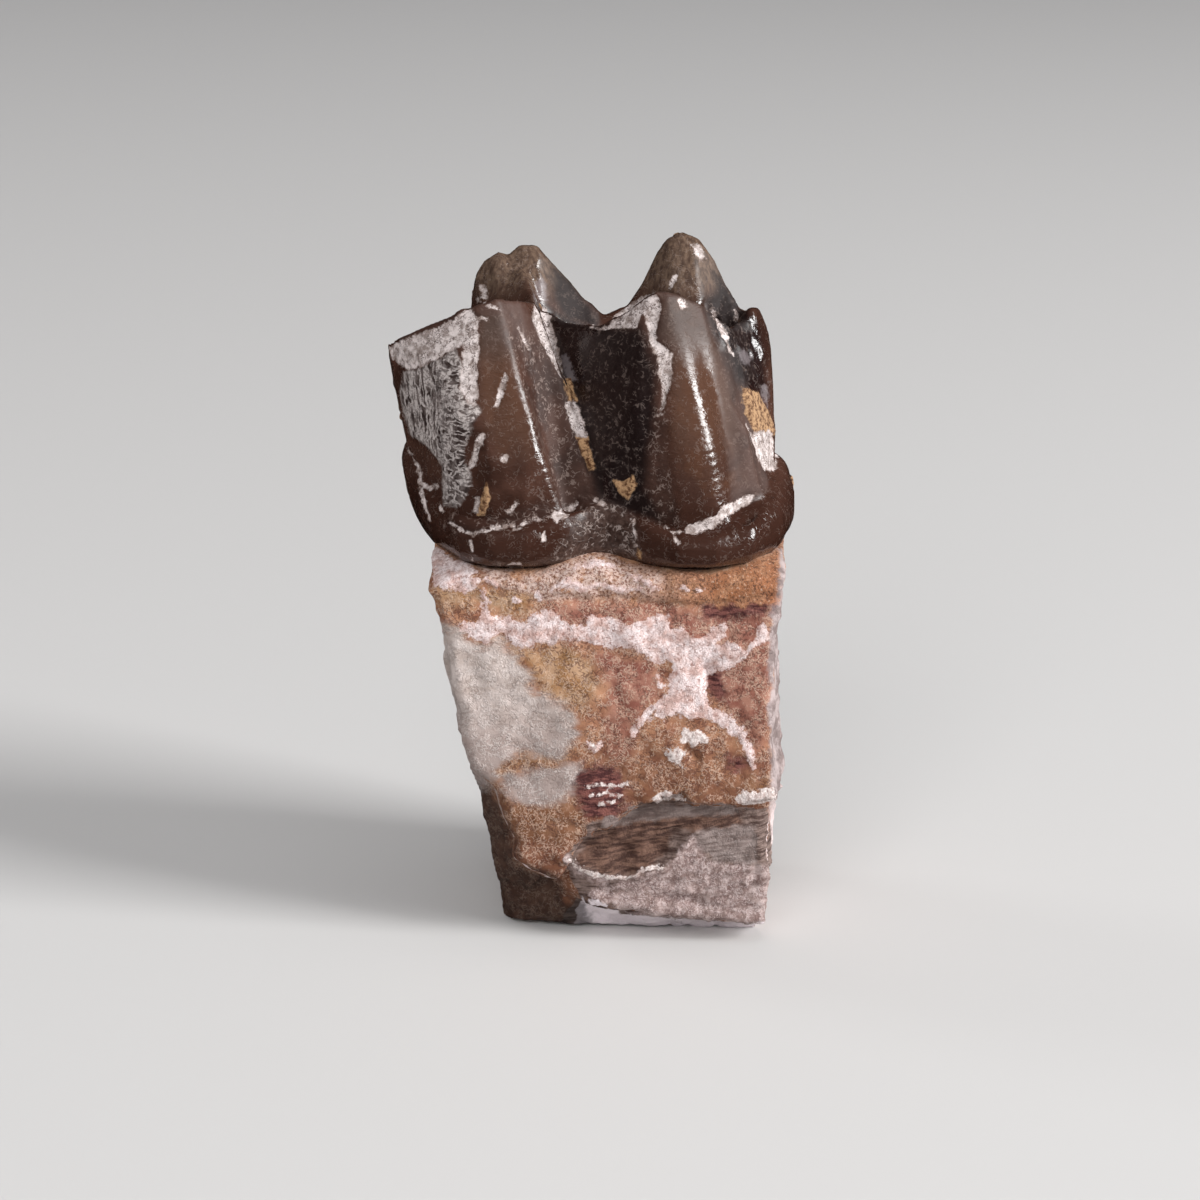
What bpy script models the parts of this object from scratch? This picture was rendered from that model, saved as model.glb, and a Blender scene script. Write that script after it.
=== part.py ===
"""Fragment of a fossil oreodont lower jaw: one cheek tooth standing in a broken block of jaw bone.

The block rests on its broken base, z = 0. The cheek side faces -Y, the tongue side +Y, and +X is
to the right of someone looking at the cheek side. The tooth is a crown with two crescents on the
cheek side, two taller cones on the tongue side, and a rolled collar (cingulum) round its foot.
"""

import bmesh
import bpy
import numpy as np
from mathutils import Vector, noise

MM = 0.001  # every size below is in millimetres

# Heights above the surface that the fragment stands on.
CROWN_FOOT = 16.4
SOCKET_GAP = 0.2  # between the crown's foot and the top of the bone
BONE_TOP = CROWN_FOOT - SOCKET_GAP
MIDDLE_LINE = (-3.2, 3.6)  # x of the ends of the fragment's middle line, at y = 0

# Each crest line is a list of (x, y, z), then the slopes of its outer (cheek or end) side and its
# inner side, the extra steepness with distance, and the radius of its edge. The outer side is on
# the right of someone walking along the list.
CRESTS = {
    "front_crescent": (
        [(-7.2, -0.5, 24.4), (-6.7, -1.3, 24.9), (-5.8, -2.3, 25.7), (-5.0, -3.0, 26.4),
         (-4.4, -3.3, 26.95), (-3.8, -3.2, 27.1), (-3.0, -2.3, 26.9), (-2.4, -0.9, 26.5),
         (-2.5, 0.6, 26.6), (-2.9, 1.8, 27.4)],
        (3.2, 1.1, 0.25, 0.2),
    ),
    "front_cone": (
        [(-0.2, 3.0, 25.6), (-0.9, 3.1, 26.5), (-1.7, 3.1, 27.4), (-2.3, 3.0, 28.15),
         (-3.0, 2.9, 28.2), (-3.5, 2.7, 27.8), (-3.95, 2.6, 27.95), (-4.35, 2.5, 27.7),
         (-4.6, 2.4, 26.9), (-4.65, 2.4, 25.8), (-4.9, 2.3, 24.6), (-5.6, 2.1, 24.3)],
        (3.1, 1.3, 0.3, 0.4),
    ),
    "front_end_wall": (
        [(-5.6, 2.1, 24.3), (-6.3, 1.5, 24.0), (-6.7, 0.4, 24.2), (-6.8, -0.9, 24.7)],
        (7.0, 0.9, 0.3, 0.4),
    ),
    "front_basin_rib": (
        [(-3.3, 2.2, 27.0), (-4.2, 1.2, 25.5), (-4.9, 0.4, 24.0)],
        (1.3, 1.3, 0.4, 0.4),
    ),
    "rear_crescent": (
        [(-1.9, 0.3, 25.9), (-1.1, -0.3, 25.55), (0.3, -1.6, 25.7), (1.4, -2.4, 26.45),
         (2.3, -2.9, 27.25), (3.0, -3.0, 27.4), (4.4, -2.4, 26.8), (5.6, -1.5, 25.6),
         (6.1, -0.2, 25.4)],
        (3.2, 1.2, 0.3, 0.25),
    ),
    "rear_cone": (
        [(6.2, 2.3, 25.4), (5.6, 2.8, 26.5), (5.1, 3.0, 27.6), (4.5, 3.1, 28.4),
         (3.8, 3.2, 28.7), (3.15, 3.1, 28.4), (2.7, 3.0, 27.7), (2.2, 2.9, 26.6),
         (1.5, 2.8, 25.6), (0.5, 2.8, 25.2), (-0.2, 3.0, 25.6)],
        (3.1, 1.4, 0.35, 0.6),
    ),
    "rear_end_pillar": (
        [(6.1, -0.2, 25.3), (6.6, 0.5, 26.0), (6.85, 1.2, 25.9), (6.3, 2.3, 25.4)],
        (4.2, 2.0, 0.5, 0.5),
    ),
    "front_lobe_edge": (
        [(-4.8, -3.2, 26.6), (-4.7, -4.0, 23.4), (-4.9, -4.6, 20.8), (-5.3, -4.9, 18.0)],
        (4.5, 3.4, 0.6, 0.2),
    ),
    "front_lobe_rib": (
        [(-3.8, -3.2, 26.9), (-3.2, -3.9, 25.2), (-2.5, -4.5, 22.6), (-1.9, -4.9, 20.4),
         (-1.4, -5.1, 18.2)],
        (3.2, 3.4, 0.6, 0.2),
    ),
    "front_lobe_fold": (
        [(-2.3, -1.2, 26.3), (-1.55, -2.1, 24.6), (-0.95, -2.8, 22.9), (-0.4, -3.4, 21.0),
         (0.1, -3.9, 19.0)],
        (6.0, 3.0, 1.0, 0.12),
    ),
    "rear_lobe_edge": (
        [(2.65, -3.0, 27.1), (2.55, -3.7, 24.9), (2.45, -4.4, 21.9), (2.1, -4.8, 18.6)],
        (4.2, 3.4, 0.6, 0.2),
    ),
    "rear_lobe_face": (
        [(3.4, -3.0, 27.0), (3.9, -3.9, 24.5), (4.4, -4.7, 21.5), (4.7, -5.1, 18.4)],
        (2.8, 2.8, 0.6, 0.9),
    ),
    "rear_lobe_flank": (
        [(4.9, -2.3, 26.0), (5.7, -2.8, 23.8), (6.4, -3.2, 21.7), (6.9, -3.4, 19.4)],
        (3.6, 3.6, 0.6, 0.3),
    ),
}
CREST_BLEND = 0.22  # how softly crests run into each other
# The crown's outline in plan at its foot, without the collar, and how steeply its wall may rise.
FOOT_OUTLINE = (
    (-6.8, 1.2), (-6.95, 0.0), (-6.85, -1.2), (-6.3, -2.6), (-5.75, -3.6), (-5.2, -4.6),
    (-4.1, -5.25), (-2.6, -5.35), (-1.1, -4.85), (-0.2, -4.4), (0.6, -4.25), (1.4, -4.45), (2.3, -4.95),
    (3.5, -5.4), (4.9, -5.4), (6.3, -4.7), (7.3, -3.2), (7.75, -1.1), (7.7, 1.2), (7.0, 3.4),
    (5.6, 4.9), (3.6, 5.5), (1.7, 5.2), (0.2, 4.7), (-1.3, 5.1), (-3.0, 5.4), (-4.9, 4.9),
    (-6.2, 3.3),
)
WALL_SLOPE = 40.0
SHELF_SLOPE = 1.2  # how steeply the collar's top falls inwards to the groove behind it
# The collar's upper edge round the crown: (x, y, z, how far the collar stands out there).
COLLAR = (
    (-6.9, 1.3, 19.4, 0.25), (-7.1, -0.9, 20.6, 0.30), (-6.8, -2.6, 19.4, 0.40),
    (-5.6, -4.6, 18.5, 0.50), (-3.9, -5.4, 18.35, 0.55), (-2.0, -5.2, 18.5, 0.50),
    (-0.6, -4.6, 18.9, 0.40), (0.6, -4.2, 19.0, 0.35), (1.9, -4.8, 18.5, 0.45),
    (3.5, -5.4, 17.95, 0.60), (5.2, -5.3, 18.05, 0.65), (6.6, -4.2, 18.6, 0.75),
    (7.5, -2.2, 19.3, 0.80), (7.7, 0.0, 19.9, 0.75), (7.2, 2.8, 18.8, 0.35),
    (5.6, 4.8, 17.9, 0.15), (2.0, 5.3, 17.6, 0.10), (-3.0, 5.4, 17.6, 0.10),
    (-5.9, 3.7, 18.2, 0.15),
)
NECK = 0.25  # how far the foot draws in under the collar
# The contact face against the next tooth leans out as it rises.
FLARE = 0.27
FLARE_FROM, FLARE_FULL = -4.3, -7.3  # x where the lean begins, and where it is whole

# Outlines of the bone in x and z, from the top left corner down the left side, along the base and
# up the right side. The cheek face is bitten away below; the tongue side reaches the ground.
CHEEK_OUTLINE = (
    (-6.70, 16.8), (-6.50, 15.4), (-6.15, 13.8), (-5.75, 11.7), (-5.30, 10.1), (-5.45, 9.0),
    (-5.10, 7.95), (-3.90, 6.85), (-3.50, 5.7), (-3.10, 4.5), (-3.25, 3.8), (-2.55, 3.35),
    (-1.40, 2.85), (-0.90, 2.25), (0.35, 1.75), (2.85, 1.3), (5.2, 1.0), (7.3, 0.8),
    (7.55, 2.85), (7.25, 4.2), (7.42, 5.75), (7.70, 6.4), (7.45, 9.0), (7.50, 10.8),
    (7.45, 13.0), (7.85, 16.8),
)
TONGUE_OUTLINE = (
    (-6.50, 16.8), (-6.45, 15.2), (-6.30, 13.4), (-6.15, 11.4), (-5.85, 9.8), (-5.60, 8.3),
    (-5.30, 7.1), (-4.95, 6.0), (-4.80, 4.9), (-4.60, 3.9), (-4.50, 3.0), (-4.40, 1.9),
    (-4.30, 0.9), (-4.10, -0.4), (-1.90, -0.4), (1.20, -0.4), (4.20, -0.4), (6.90, -0.4),
    (7.55, 1.9), (7.75, 3.9), (7.90, 5.6), (8.00, 7.3), (8.05, 9.2), (8.00, 11.0),
    (7.85, 13.2), (8.00, 16.8),
)
# Depth of each station through the bone, how far its outline has turned from the cheek's into the
# tongue side's, and how far its ends and its underside are drawn in from the full outline.
STATIONS = (
    (-5.60, 0.00, 0.30), (-5.35, 0.03, 0.00), (-4.60, 0.15, 0.00), (-3.70, 0.75, 0.00),
    (-2.30, 0.90, 0.00), (0.00, 0.97, 0.00), (1.80, 1.00, 0.10), (3.40, 1.00, 0.35),
    (4.50, 1.00, 0.85), (5.25, 1.00, 1.60), (5.70, 1.00, 2.60),
)
BONE_MIDDLE = (1.0, 8.0)  # x and z that the stations are drawn in towards
RIM = (1.0, 0.1)  # the height over which the top edge rounds off, and how far it draws in
# The top falls away outside the crown's foot: the height over which it does, the first step down
# and the slope beyond it.
SHOULDER_HEIGHT, SHOULDER_STEP, SHOULDER_SLOPE = 2.2, 0.6, 0.2
# Where the outer layer of the cheek face has flaked off: the upper edge of the scar, (x, z).
SCAR_EDGE = (
    (-2.6, 2.2), (-1.2, 3.2), (-0.7, 4.3), (0.1, 5.1), (1.2, 5.6), (2.4, 6.4), (3.8, 6.8),
    (4.2, 6.3), (6.2, 6.4), (8.2, 6.5),
)
SCAR_DEPTH = 0.75
SCAR_FADE = 4.5  # height over which the scar runs out again below its edge
# The lower edge of the sediment that is packed against the foot of the crown, (x, z).
SEDIMENT_EDGE = ((-6.5, 15.0), (-3.0, 15.4), (1.0, 15.2), (4.5, 14.9), (7.6, 15.1))
SEDIMENT_DEPTH = 0.18
STEP_WIDTH = 0.3
GRAIN = 0.16  # roughness of the broken bone
GRAIN_SIZE = 2.1
HOLLOWS = 0.5  # depth of the broad hollows in the ends and the tongue side
HOLLOW_SIZE = 5.5
HOLLOW_FADE = 2.0  # width over which they run out towards the cheek face, the top and the base
HOLLOW_FROM = -3.0  # y where they begin behind the cheek face

# The fineness of the meshes: the crown's grid, the even meshes, and the triangles that are kept.
CROWN_CELL = 0.11
MOLAR_VOXEL, MOLAR_TRIANGLES = 0.19, 5600
BONE_VOXEL, BONE_TRIANGLES = 0.33, 3800


def clear_scene():
    for obj in list(bpy.data.objects):
        bpy.data.objects.remove(obj)


def material(name, colour, roughness):
    made = bpy.data.materials.new(name)
    made.use_nodes = True
    shader = made.node_tree.nodes["Principled BSDF"]
    shader.inputs["Base Color"].default_value = (*colour, 1.0)
    shader.inputs["Roughness"].default_value = roughness
    shader.inputs["Metallic"].default_value = 0.0
    return made


def ramp(value, start, end):
    """0 at start, 1 at end, held beyond both."""
    return np.clip((value - start) / (end - start), 0, 1)


def nearest_on(x, y, line):
    """Distance in plan to a line of points, the values that the line has there beyond x and y,
    and the side: -1 to the right of someone walking along the line, 1 to the left."""
    line = np.array(line, float)
    distance = np.full(x.shape, np.inf)
    values = np.zeros((line.shape[1] - 2, *x.shape))
    side = np.zeros(x.shape)
    last = len(line) - 2
    for i, (a, b) in enumerate(zip(line[:-1], line[1:])):
        run = b[:2] - a[:2]
        along = ((x - a[0]) * run[0] + (y - a[1]) * run[1]) / (run @ run)
        share = np.clip(along, 0, 1)
        dx = x - (a[0] + share * run[0])
        dy = y - (a[1] + share * run[1])
        away = np.hypot(dx, dy)
        across = (run[0] * dy - run[1] * dx) / np.hypot(*run)
        past_end = ((i == 0) & (along < 0)) | ((i == last) & (along > 1))
        turned = np.where(past_end, across / np.maximum(away, 1e-6), np.sign(across))
        closer = away < distance
        distance = np.where(closer, away, distance)
        side = np.where(closer, turned, side)
        for value, start, end in zip(values, a[2:], b[2:]):
            value[closer] = (start + share * (end - start))[closer]
    return distance, values, side


def crest_height(x, y, crest):
    """Height over x, y of the ridge that falls away on both sides of a crest line."""
    line, (outer, inner, steepening, radius) = crest
    distance, (top,), side = nearest_on(x, y, line)
    slope = inner + (outer - inner) * (1 - side) / 2
    rounded = np.sqrt(distance**2 + radius**2) - radius
    return top - slope * rounded - steepening * distance**2


def inside(x, y, outline):
    """Whether each x, y lies inside a closed outline."""
    found = np.zeros(x.shape, bool)
    for (ax, ay), (bx, by) in zip(outline, outline[1:] + outline[:1]):
        if ay != by:
            crossing = (ay > y) != (by > y)
            found ^= crossing & (x < ax + (y - ay) * (bx - ax) / (by - ay))
    return found


def reach_inside(x, y, outline):
    """Distance in plan to a closed outline, negative outside it."""
    reach, _, _ = nearest_on(x, y, outline + outline[:1])
    return np.where(inside(x, y, outline), reach, -reach)


def crown_height(x, y):
    """Height of the crown over x, y: its crests, run together where they meet, then the shelf
    that the collar is rolled from, all inside the crown's wall."""
    heights = [crest_height(x, y, crest) for crest in CRESTS.values()]
    highest = np.max(heights, axis=0)
    total = sum(np.exp((height - highest) / CREST_BLEND) for height in heights)
    crests = highest + CREST_BLEND * np.log(total)
    reach = reach_inside(x, y, FOOT_OUTLINE)
    _, (edge, _), _ = nearest_on(x, y, COLLAR + COLLAR[:1])
    ground = np.maximum(crests, edge - SHELF_SLOPE * reach)
    wall = CROWN_FOOT + WALL_SLOPE * reach
    return -CREST_BLEND * np.logaddexp(-ground / CREST_BLEND, -wall / CREST_BLEND)


def places(data):
    found = np.empty(3 * len(data.vertices))
    data.vertices.foreach_get("co", found)
    return found.reshape(-1, 3)


def outwards(spots):
    """The level direction from the middle line of the fragment to each spot."""
    level = spots[:, :2].copy()
    level[:, 0] -= np.clip(level[:, 0], *MIDDLE_LINE)
    return level / np.maximum(np.hypot(*level.T), 0.1)[:, None]


def shape_crown_wall(data):
    """Rolls the collar out of the crown's wall, draws in its foot and leans its front end."""
    spots = places(data)
    x, y, z = spots.T
    _, (edge, proud), _ = nearest_on(x, y, COLLAR + COLLAR[:1])
    share = (z - CROWN_FOOT) / (edge - CROWN_FOOT)
    roll = np.maximum(0, 1 - np.abs(2 * share - 1) ** 2.5) ** 0.6
    reach = proud * roll - NECK * ramp(share, 0.5, 0) ** 2
    spots[:, :2] += outwards(spots) * reach[:, None]
    spots[:, 0] -= FLARE * (z - CROWN_FOOT) * ramp(x, FLARE_FROM, FLARE_FULL)
    data.vertices.foreach_set("co", spots.ravel())


def solid_below(sheet, depth):
    """Closes a sheet into a solid with walls down to a flat underside."""
    made = bmesh.ops.extrude_face_region(sheet, geom=sheet.faces[:])
    for vertex in (v for v in made["geom"] if isinstance(v, bmesh.types.BMVert)):
        vertex.co.z = depth
    bmesh.ops.recalc_face_normals(sheet, faces=sheet.faces)


def cut_away(data, point, normal):
    """Removes what lies on the normal's side of a plane and closes the cut with a flat face."""
    shape = bmesh.new()
    shape.from_mesh(data)
    geometry = shape.verts[:] + shape.edges[:] + shape.faces[:]
    cut = bmesh.ops.bisect_plane(
        shape, geom=geometry, plane_co=point, plane_no=normal, dist=1e-6, clear_outer=True
    )
    edges = [e for e in cut["geom_cut"] if isinstance(e, bmesh.types.BMEdge)]
    bmesh.ops.contextual_create(shape, geom=edges)
    shape.to_mesh(data)
    shape.free()


def object_from(name, shape, finish):
    data = bpy.data.meshes.new(name)
    shape.to_mesh(data)
    shape.free()
    data.materials.append(finish)
    obj = bpy.data.objects.new(name, data)
    bpy.context.scene.collection.objects.link(obj)
    return obj


def settle(obj):
    """Replaces the object's mesh by what its modifiers make of it, and clears them."""
    graph = bpy.context.evaluated_depsgraph_get()
    data = bpy.data.meshes.new_from_object(obj.evaluated_get(graph))
    obj.modifiers.clear()
    obj.data = data


def make_even(obj, voxel):
    """Gives the solid an even mesh of small faces and takes off its steps."""
    remesh = obj.modifiers.new("even mesh", "REMESH")
    remesh.mode = "VOXEL"
    remesh.voxel_size = voxel
    smooth = obj.modifiers.new("no steps", "SMOOTH")
    smooth.factor = 0.5
    smooth.iterations = 2
    settle(obj)


def thin_out(obj, triangles):
    """Merges faces where the surface is flat until about this many triangles are left."""
    decimate = obj.modifiers.new("fewer faces", "DECIMATE")
    decimate.ratio = triangles / (2 * len(obj.data.polygons))
    settle(obj)


def finish_off(obj):
    """Brings a solid modelled in millimetres to metres and shades it."""
    obj.data.transform(((MM, 0, 0, 0), (0, MM, 0, 0), (0, 0, MM, 0), (0, 0, 0, 1)))
    obj.data.shade_smooth()
    obj.data.set_sharp_from_angle(angle=0.7)


def crown_sheet():
    """A grid over the crown's plan, lifted to the crown's height."""
    corners = np.array(FOOT_OUTLINE)
    low, high = corners.min(axis=0) - 1, corners.max(axis=0) + 1
    columns, rows = np.ceil((high - low) / CROWN_CELL).astype(int)
    sheet = bmesh.new()
    bmesh.ops.create_grid(sheet, x_segments=columns, y_segments=rows, size=0.5)
    plan = np.array([v.co.xy for v in sheet.verts]) * (high - low) + (high + low) / 2
    heights = np.maximum(crown_height(*plan.T), CROWN_FOOT - 2)
    for vertex, (x, y), z in zip(sheet.verts, plan, heights):
        vertex.co = (x, y, z)
    return sheet


def make_molar(finish):
    crown = crown_sheet()
    solid_below(crown, CROWN_FOOT - 3)
    molar = object_from("molar", crown, finish)
    cut_away(molar.data, (0, 0, CROWN_FOOT - 0.6), (0, 0, -1))
    make_even(molar, MOLAR_VOXEL)
    shape_crown_wall(molar.data)
    thin_out(molar, MOLAR_TRIANGLES)
    cut_away(molar.data, (0, 0, CROWN_FOOT), (0, 0, -1))
    finish_off(molar)


def station_points(depth, turned, inset):
    """The bone's outline at one depth."""
    outline = (1 - turned) * np.array(CHEEK_OUTLINE) + turned * np.array(TONGUE_OUTLINE)
    away = (outline - BONE_MIDDLE) / (outline.max(axis=0) - BONE_MIDDLE)
    away[:, 1] = np.minimum(away[:, 1], 0)
    return [(x, depth, z) for x, z in outline - inset * away]


def bone_block():
    """The stations of the bone, joined into one closed block."""
    block = bmesh.new()
    rings = []
    for depth, turned, inset in STATIONS:
        ring = [block.verts.new(p) for p in station_points(depth, turned, inset)]
        rings.append([block.edges.new((a, b)) for a, b in zip(ring, ring[1:] + ring[:1])])
    for first, second in zip(rings[:-1], rings[1:]):
        bmesh.ops.bridge_loops(block, edges=first + second)
    for end in (rings[0], rings[-1]):
        bmesh.ops.contextual_create(block, geom=end)
    bmesh.ops.triangulate(block, faces=[f for f in block.faces if len(f.verts) > 4])
    bmesh.ops.recalc_face_normals(block, faces=block.faces)
    return block


def shape_bone_faces(data):
    """Grain all over, hollows behind, the flaked scar and the sediment on the cheek face, and a
    rounded rim and shoulder."""
    spots = places(data)
    x, y, z = spots.T.copy()
    normals = np.array([v.normal for v in data.vertices])
    grain = np.array([noise.fractal(Vector(spot) / GRAIN_SIZE, 0.9, 2.0, 3) for spot in spots])
    hollows = np.array([0.5 + noise.noise(Vector(spot) / HOLLOW_SIZE) for spot in spots])
    hollows *= ramp(y, HOLLOW_FROM, HOLLOW_FROM + HOLLOW_FADE)
    hollows *= ramp(z, BONE_TOP, BONE_TOP - HOLLOW_FADE) * ramp(z, 0, HOLLOW_FADE)
    spots += normals * (GRAIN * grain - HOLLOWS * hollows)[:, None]
    cheek = ramp(y, -2.5, -4.5)
    below = np.interp(x, *zip(*SCAR_EDGE)) - z
    scar = SCAR_DEPTH * ramp(below, 0, STEP_WIDTH) * np.clip(1 - below / SCAR_FADE, 0.25, 1)
    sediment = SEDIMENT_DEPTH * ramp(z - np.interp(x, *zip(*SEDIMENT_EDGE)), 0, STEP_WIDTH)
    spots[:, 1] += cheek * (scar - sediment)
    height, draw = RIM
    drawn = draw * ramp(z, BONE_TOP - height, BONE_TOP) ** 2
    spots[:, :2] -= outwards(spots) * drawn[:, None]
    reach = reach_inside(x, y, FOOT_OUTLINE)
    fall = SHOULDER_STEP * ramp(reach, 0.2, -0.2) + SHOULDER_SLOPE * np.maximum(-reach, 0)
    spots[:, 2] -= fall * ramp(z, BONE_TOP - SHOULDER_HEIGHT, BONE_TOP) ** 2
    data.vertices.foreach_set("co", spots.ravel())


def make_jaw_bone(finish):
    bone = object_from("jaw_bone", bone_block(), finish)
    make_even(bone, BONE_VOXEL)
    shape_bone_faces(bone.data)
    thin_out(bone, BONE_TRIANGLES)
    cut_away(bone.data, (0, 0, 0), (0, 0, -1))
    cut_away(bone.data, (0, 0, BONE_TOP), (0, 0, 1))
    finish_off(bone)


def main():
    clear_scene()
    make_jaw_bone(material("fossil bone", (0.42, 0.27, 0.17), 0.75))
    make_molar(material("fossil enamel", (0.085, 0.045, 0.03), 0.22))


main()
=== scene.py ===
"""Looks of a fossil oreodont jaw fragment: a glossy two-lobed cheek tooth in a broken block of bone.

The crown and the bone are remade here with fine surfaces: growth lines, frosting, chips, crust and
flaked layers. The object rests on z = 0, its cheek side faces -Y and its tongue side +Y.
"""

import math

import bmesh
import bpy
import numpy as np
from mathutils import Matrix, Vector, noise
from mathutils.bvhtree import BVHTree


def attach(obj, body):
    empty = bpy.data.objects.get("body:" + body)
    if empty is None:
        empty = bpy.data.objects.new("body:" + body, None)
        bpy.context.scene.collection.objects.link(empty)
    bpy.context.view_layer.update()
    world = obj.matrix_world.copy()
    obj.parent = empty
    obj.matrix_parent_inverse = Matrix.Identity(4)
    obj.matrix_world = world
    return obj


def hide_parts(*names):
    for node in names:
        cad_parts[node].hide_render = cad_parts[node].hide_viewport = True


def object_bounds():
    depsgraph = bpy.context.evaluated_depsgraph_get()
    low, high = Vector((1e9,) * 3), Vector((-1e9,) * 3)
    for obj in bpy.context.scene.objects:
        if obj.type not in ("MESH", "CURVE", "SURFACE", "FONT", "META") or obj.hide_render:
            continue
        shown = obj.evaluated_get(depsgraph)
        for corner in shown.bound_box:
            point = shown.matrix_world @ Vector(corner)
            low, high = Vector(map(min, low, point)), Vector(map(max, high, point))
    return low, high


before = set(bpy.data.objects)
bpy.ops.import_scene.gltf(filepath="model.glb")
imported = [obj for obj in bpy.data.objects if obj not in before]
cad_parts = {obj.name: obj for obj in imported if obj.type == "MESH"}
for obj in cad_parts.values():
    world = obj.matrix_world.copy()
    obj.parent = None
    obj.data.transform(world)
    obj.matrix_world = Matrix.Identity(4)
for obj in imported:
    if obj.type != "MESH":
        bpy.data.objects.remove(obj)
CAD_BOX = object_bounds()

MM = 0.001  # every size below is in millimetres

# The photograph's camera, and the size of one of its 1200 x 1200 pixels at the object.
CAMERA_RISE = math.radians(17.0)
CAMERA_DISTANCE = 141.7
CAMERA_AIM = np.array((0.34, 0.0, 13.45))
LENS, SENSOR, FRAME_PIXELS = 100.0, 36.0, 1200
PIXEL = CAMERA_DISTANCE * SENSOR / LENS / FRAME_PIXELS

# Heights above the surface that the fragment stands on.
CROWN_FOOT = 16.4
BURIED_FOOT = 15.7  # the crown runs on into the bone down to here
BONE_TOP = 16.2
BLOCK_TOP = 16.8  # where the bone's outlines end
MIDDLE_LINE = (-3.2, 3.6)  # x of the ends of the fragment's middle line, at y = 0

# Each crest line is a list of (x, y, z), then the slopes of its outer (cheek or end) side and its
# inner side, the extra steepness with distance, and the radius of its edge. The outer side is on
# the right of someone walking along the list.
CRESTS = {
    "front_crescent": (
        [(-7.2, -0.5, 24.4), (-6.7, -1.3, 24.9), (-5.8, -2.3, 25.7), (-5.0, -3.0, 26.4),
         (-4.4, -3.3, 26.95), (-3.8, -3.2, 27.1), (-3.0, -2.3, 26.9), (-2.4, -0.9, 26.5),
         (-2.5, 0.6, 26.6), (-2.9, 1.8, 27.4)],
        (3.2, 1.1, 0.25, 0.2),
    ),
    "front_cone": (
        [(-0.2, 3.0, 25.6), (-0.9, 3.1, 26.5), (-1.7, 3.1, 27.4), (-2.3, 3.0, 28.15),
         (-3.0, 2.9, 28.2), (-3.5, 2.7, 27.8), (-3.95, 2.6, 27.95), (-4.35, 2.5, 27.7),
         (-4.6, 2.4, 26.9), (-4.65, 2.4, 25.8), (-4.9, 2.3, 24.6), (-5.6, 2.1, 24.3)],
        (3.1, 1.3, 0.3, 0.4),
    ),
    "front_end_wall": (
        [(-5.6, 2.1, 24.3), (-6.3, 1.5, 24.0), (-6.7, 0.4, 24.2), (-6.8, -0.9, 24.7)],
        (7.0, 0.9, 0.3, 0.4),
    ),
    "front_basin_rib": (
        [(-3.3, 2.2, 27.0), (-4.2, 1.2, 25.5), (-4.9, 0.4, 24.0)],
        (1.3, 1.3, 0.4, 0.4),
    ),
    "rear_crescent": (
        [(-1.9, 0.3, 25.9), (-1.1, -0.3, 25.55), (0.3, -1.6, 25.7), (1.4, -2.4, 26.45),
         (2.3, -2.9, 27.25), (3.0, -3.0, 27.4), (4.4, -2.4, 26.8), (5.6, -1.5, 25.6),
         (6.1, -0.2, 25.4)],
        (3.2, 1.2, 0.3, 0.25),
    ),
    "rear_cone": (
        [(6.2, 2.3, 25.4), (5.6, 2.8, 26.5), (5.1, 3.0, 27.6), (4.5, 3.1, 28.4),
         (3.8, 3.2, 28.7), (3.15, 3.1, 28.4), (2.7, 3.0, 27.7), (2.2, 2.9, 26.6),
         (1.5, 2.8, 25.6), (0.5, 2.8, 25.2), (-0.2, 3.0, 25.6)],
        (3.1, 1.4, 0.35, 0.6),
    ),
    "rear_end_pillar": (
        [(6.1, -0.2, 25.3), (6.6, 0.5, 26.0), (6.85, 1.2, 25.9), (6.3, 2.3, 25.4)],
        (4.2, 2.0, 0.5, 0.5),
    ),
    "front_lobe_edge": (
        [(-4.8, -3.2, 26.6), (-4.7, -4.0, 23.4), (-4.9, -4.6, 20.8), (-5.3, -4.9, 18.0)],
        (4.5, 3.4, 0.6, 0.2),
    ),
    "front_lobe_rib": (
        [(-3.8, -3.2, 26.9), (-3.15, -3.9, 25.2), (-2.38, -4.5, 22.6), (-1.6, -4.88, 20.4),
         (-0.85, -5.0, 18.2)],
        (3.2, 3.4, 0.6, 0.45),
    ),
    "front_lobe_fold": (
        [(-2.3, -1.2, 26.3), (-1.55, -2.1, 24.6), (-0.95, -2.8, 22.9), (-0.4, -3.4, 21.0),
         (0.1, -3.9, 19.0)],
        (6.0, 3.0, 1.0, 0.3),
    ),
    "rear_lobe_edge": (
        [(2.65, -3.0, 27.1), (2.55, -3.7, 24.9), (2.45, -4.4, 21.9), (2.1, -4.8, 18.6)],
        (4.2, 3.4, 0.6, 0.2),
    ),
    "rear_lobe_face": (
        [(3.4, -3.0, 27.0), (4.1, -3.95, 24.5), (4.95, -4.95, 21.5), (5.3, -5.3, 18.4)],
        (2.8, 2.8, 0.6, 2.1),
    ),
    "rear_lobe_flank": (
        [(4.9, -2.3, 26.0), (5.7, -2.8, 23.8), (6.4, -3.2, 21.7), (6.9, -3.4, 19.4)],
        (3.6, 3.6, 0.6, 0.3),
    ),
}
CREST_BLEND = 0.22  # how softly crests run into each other
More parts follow.
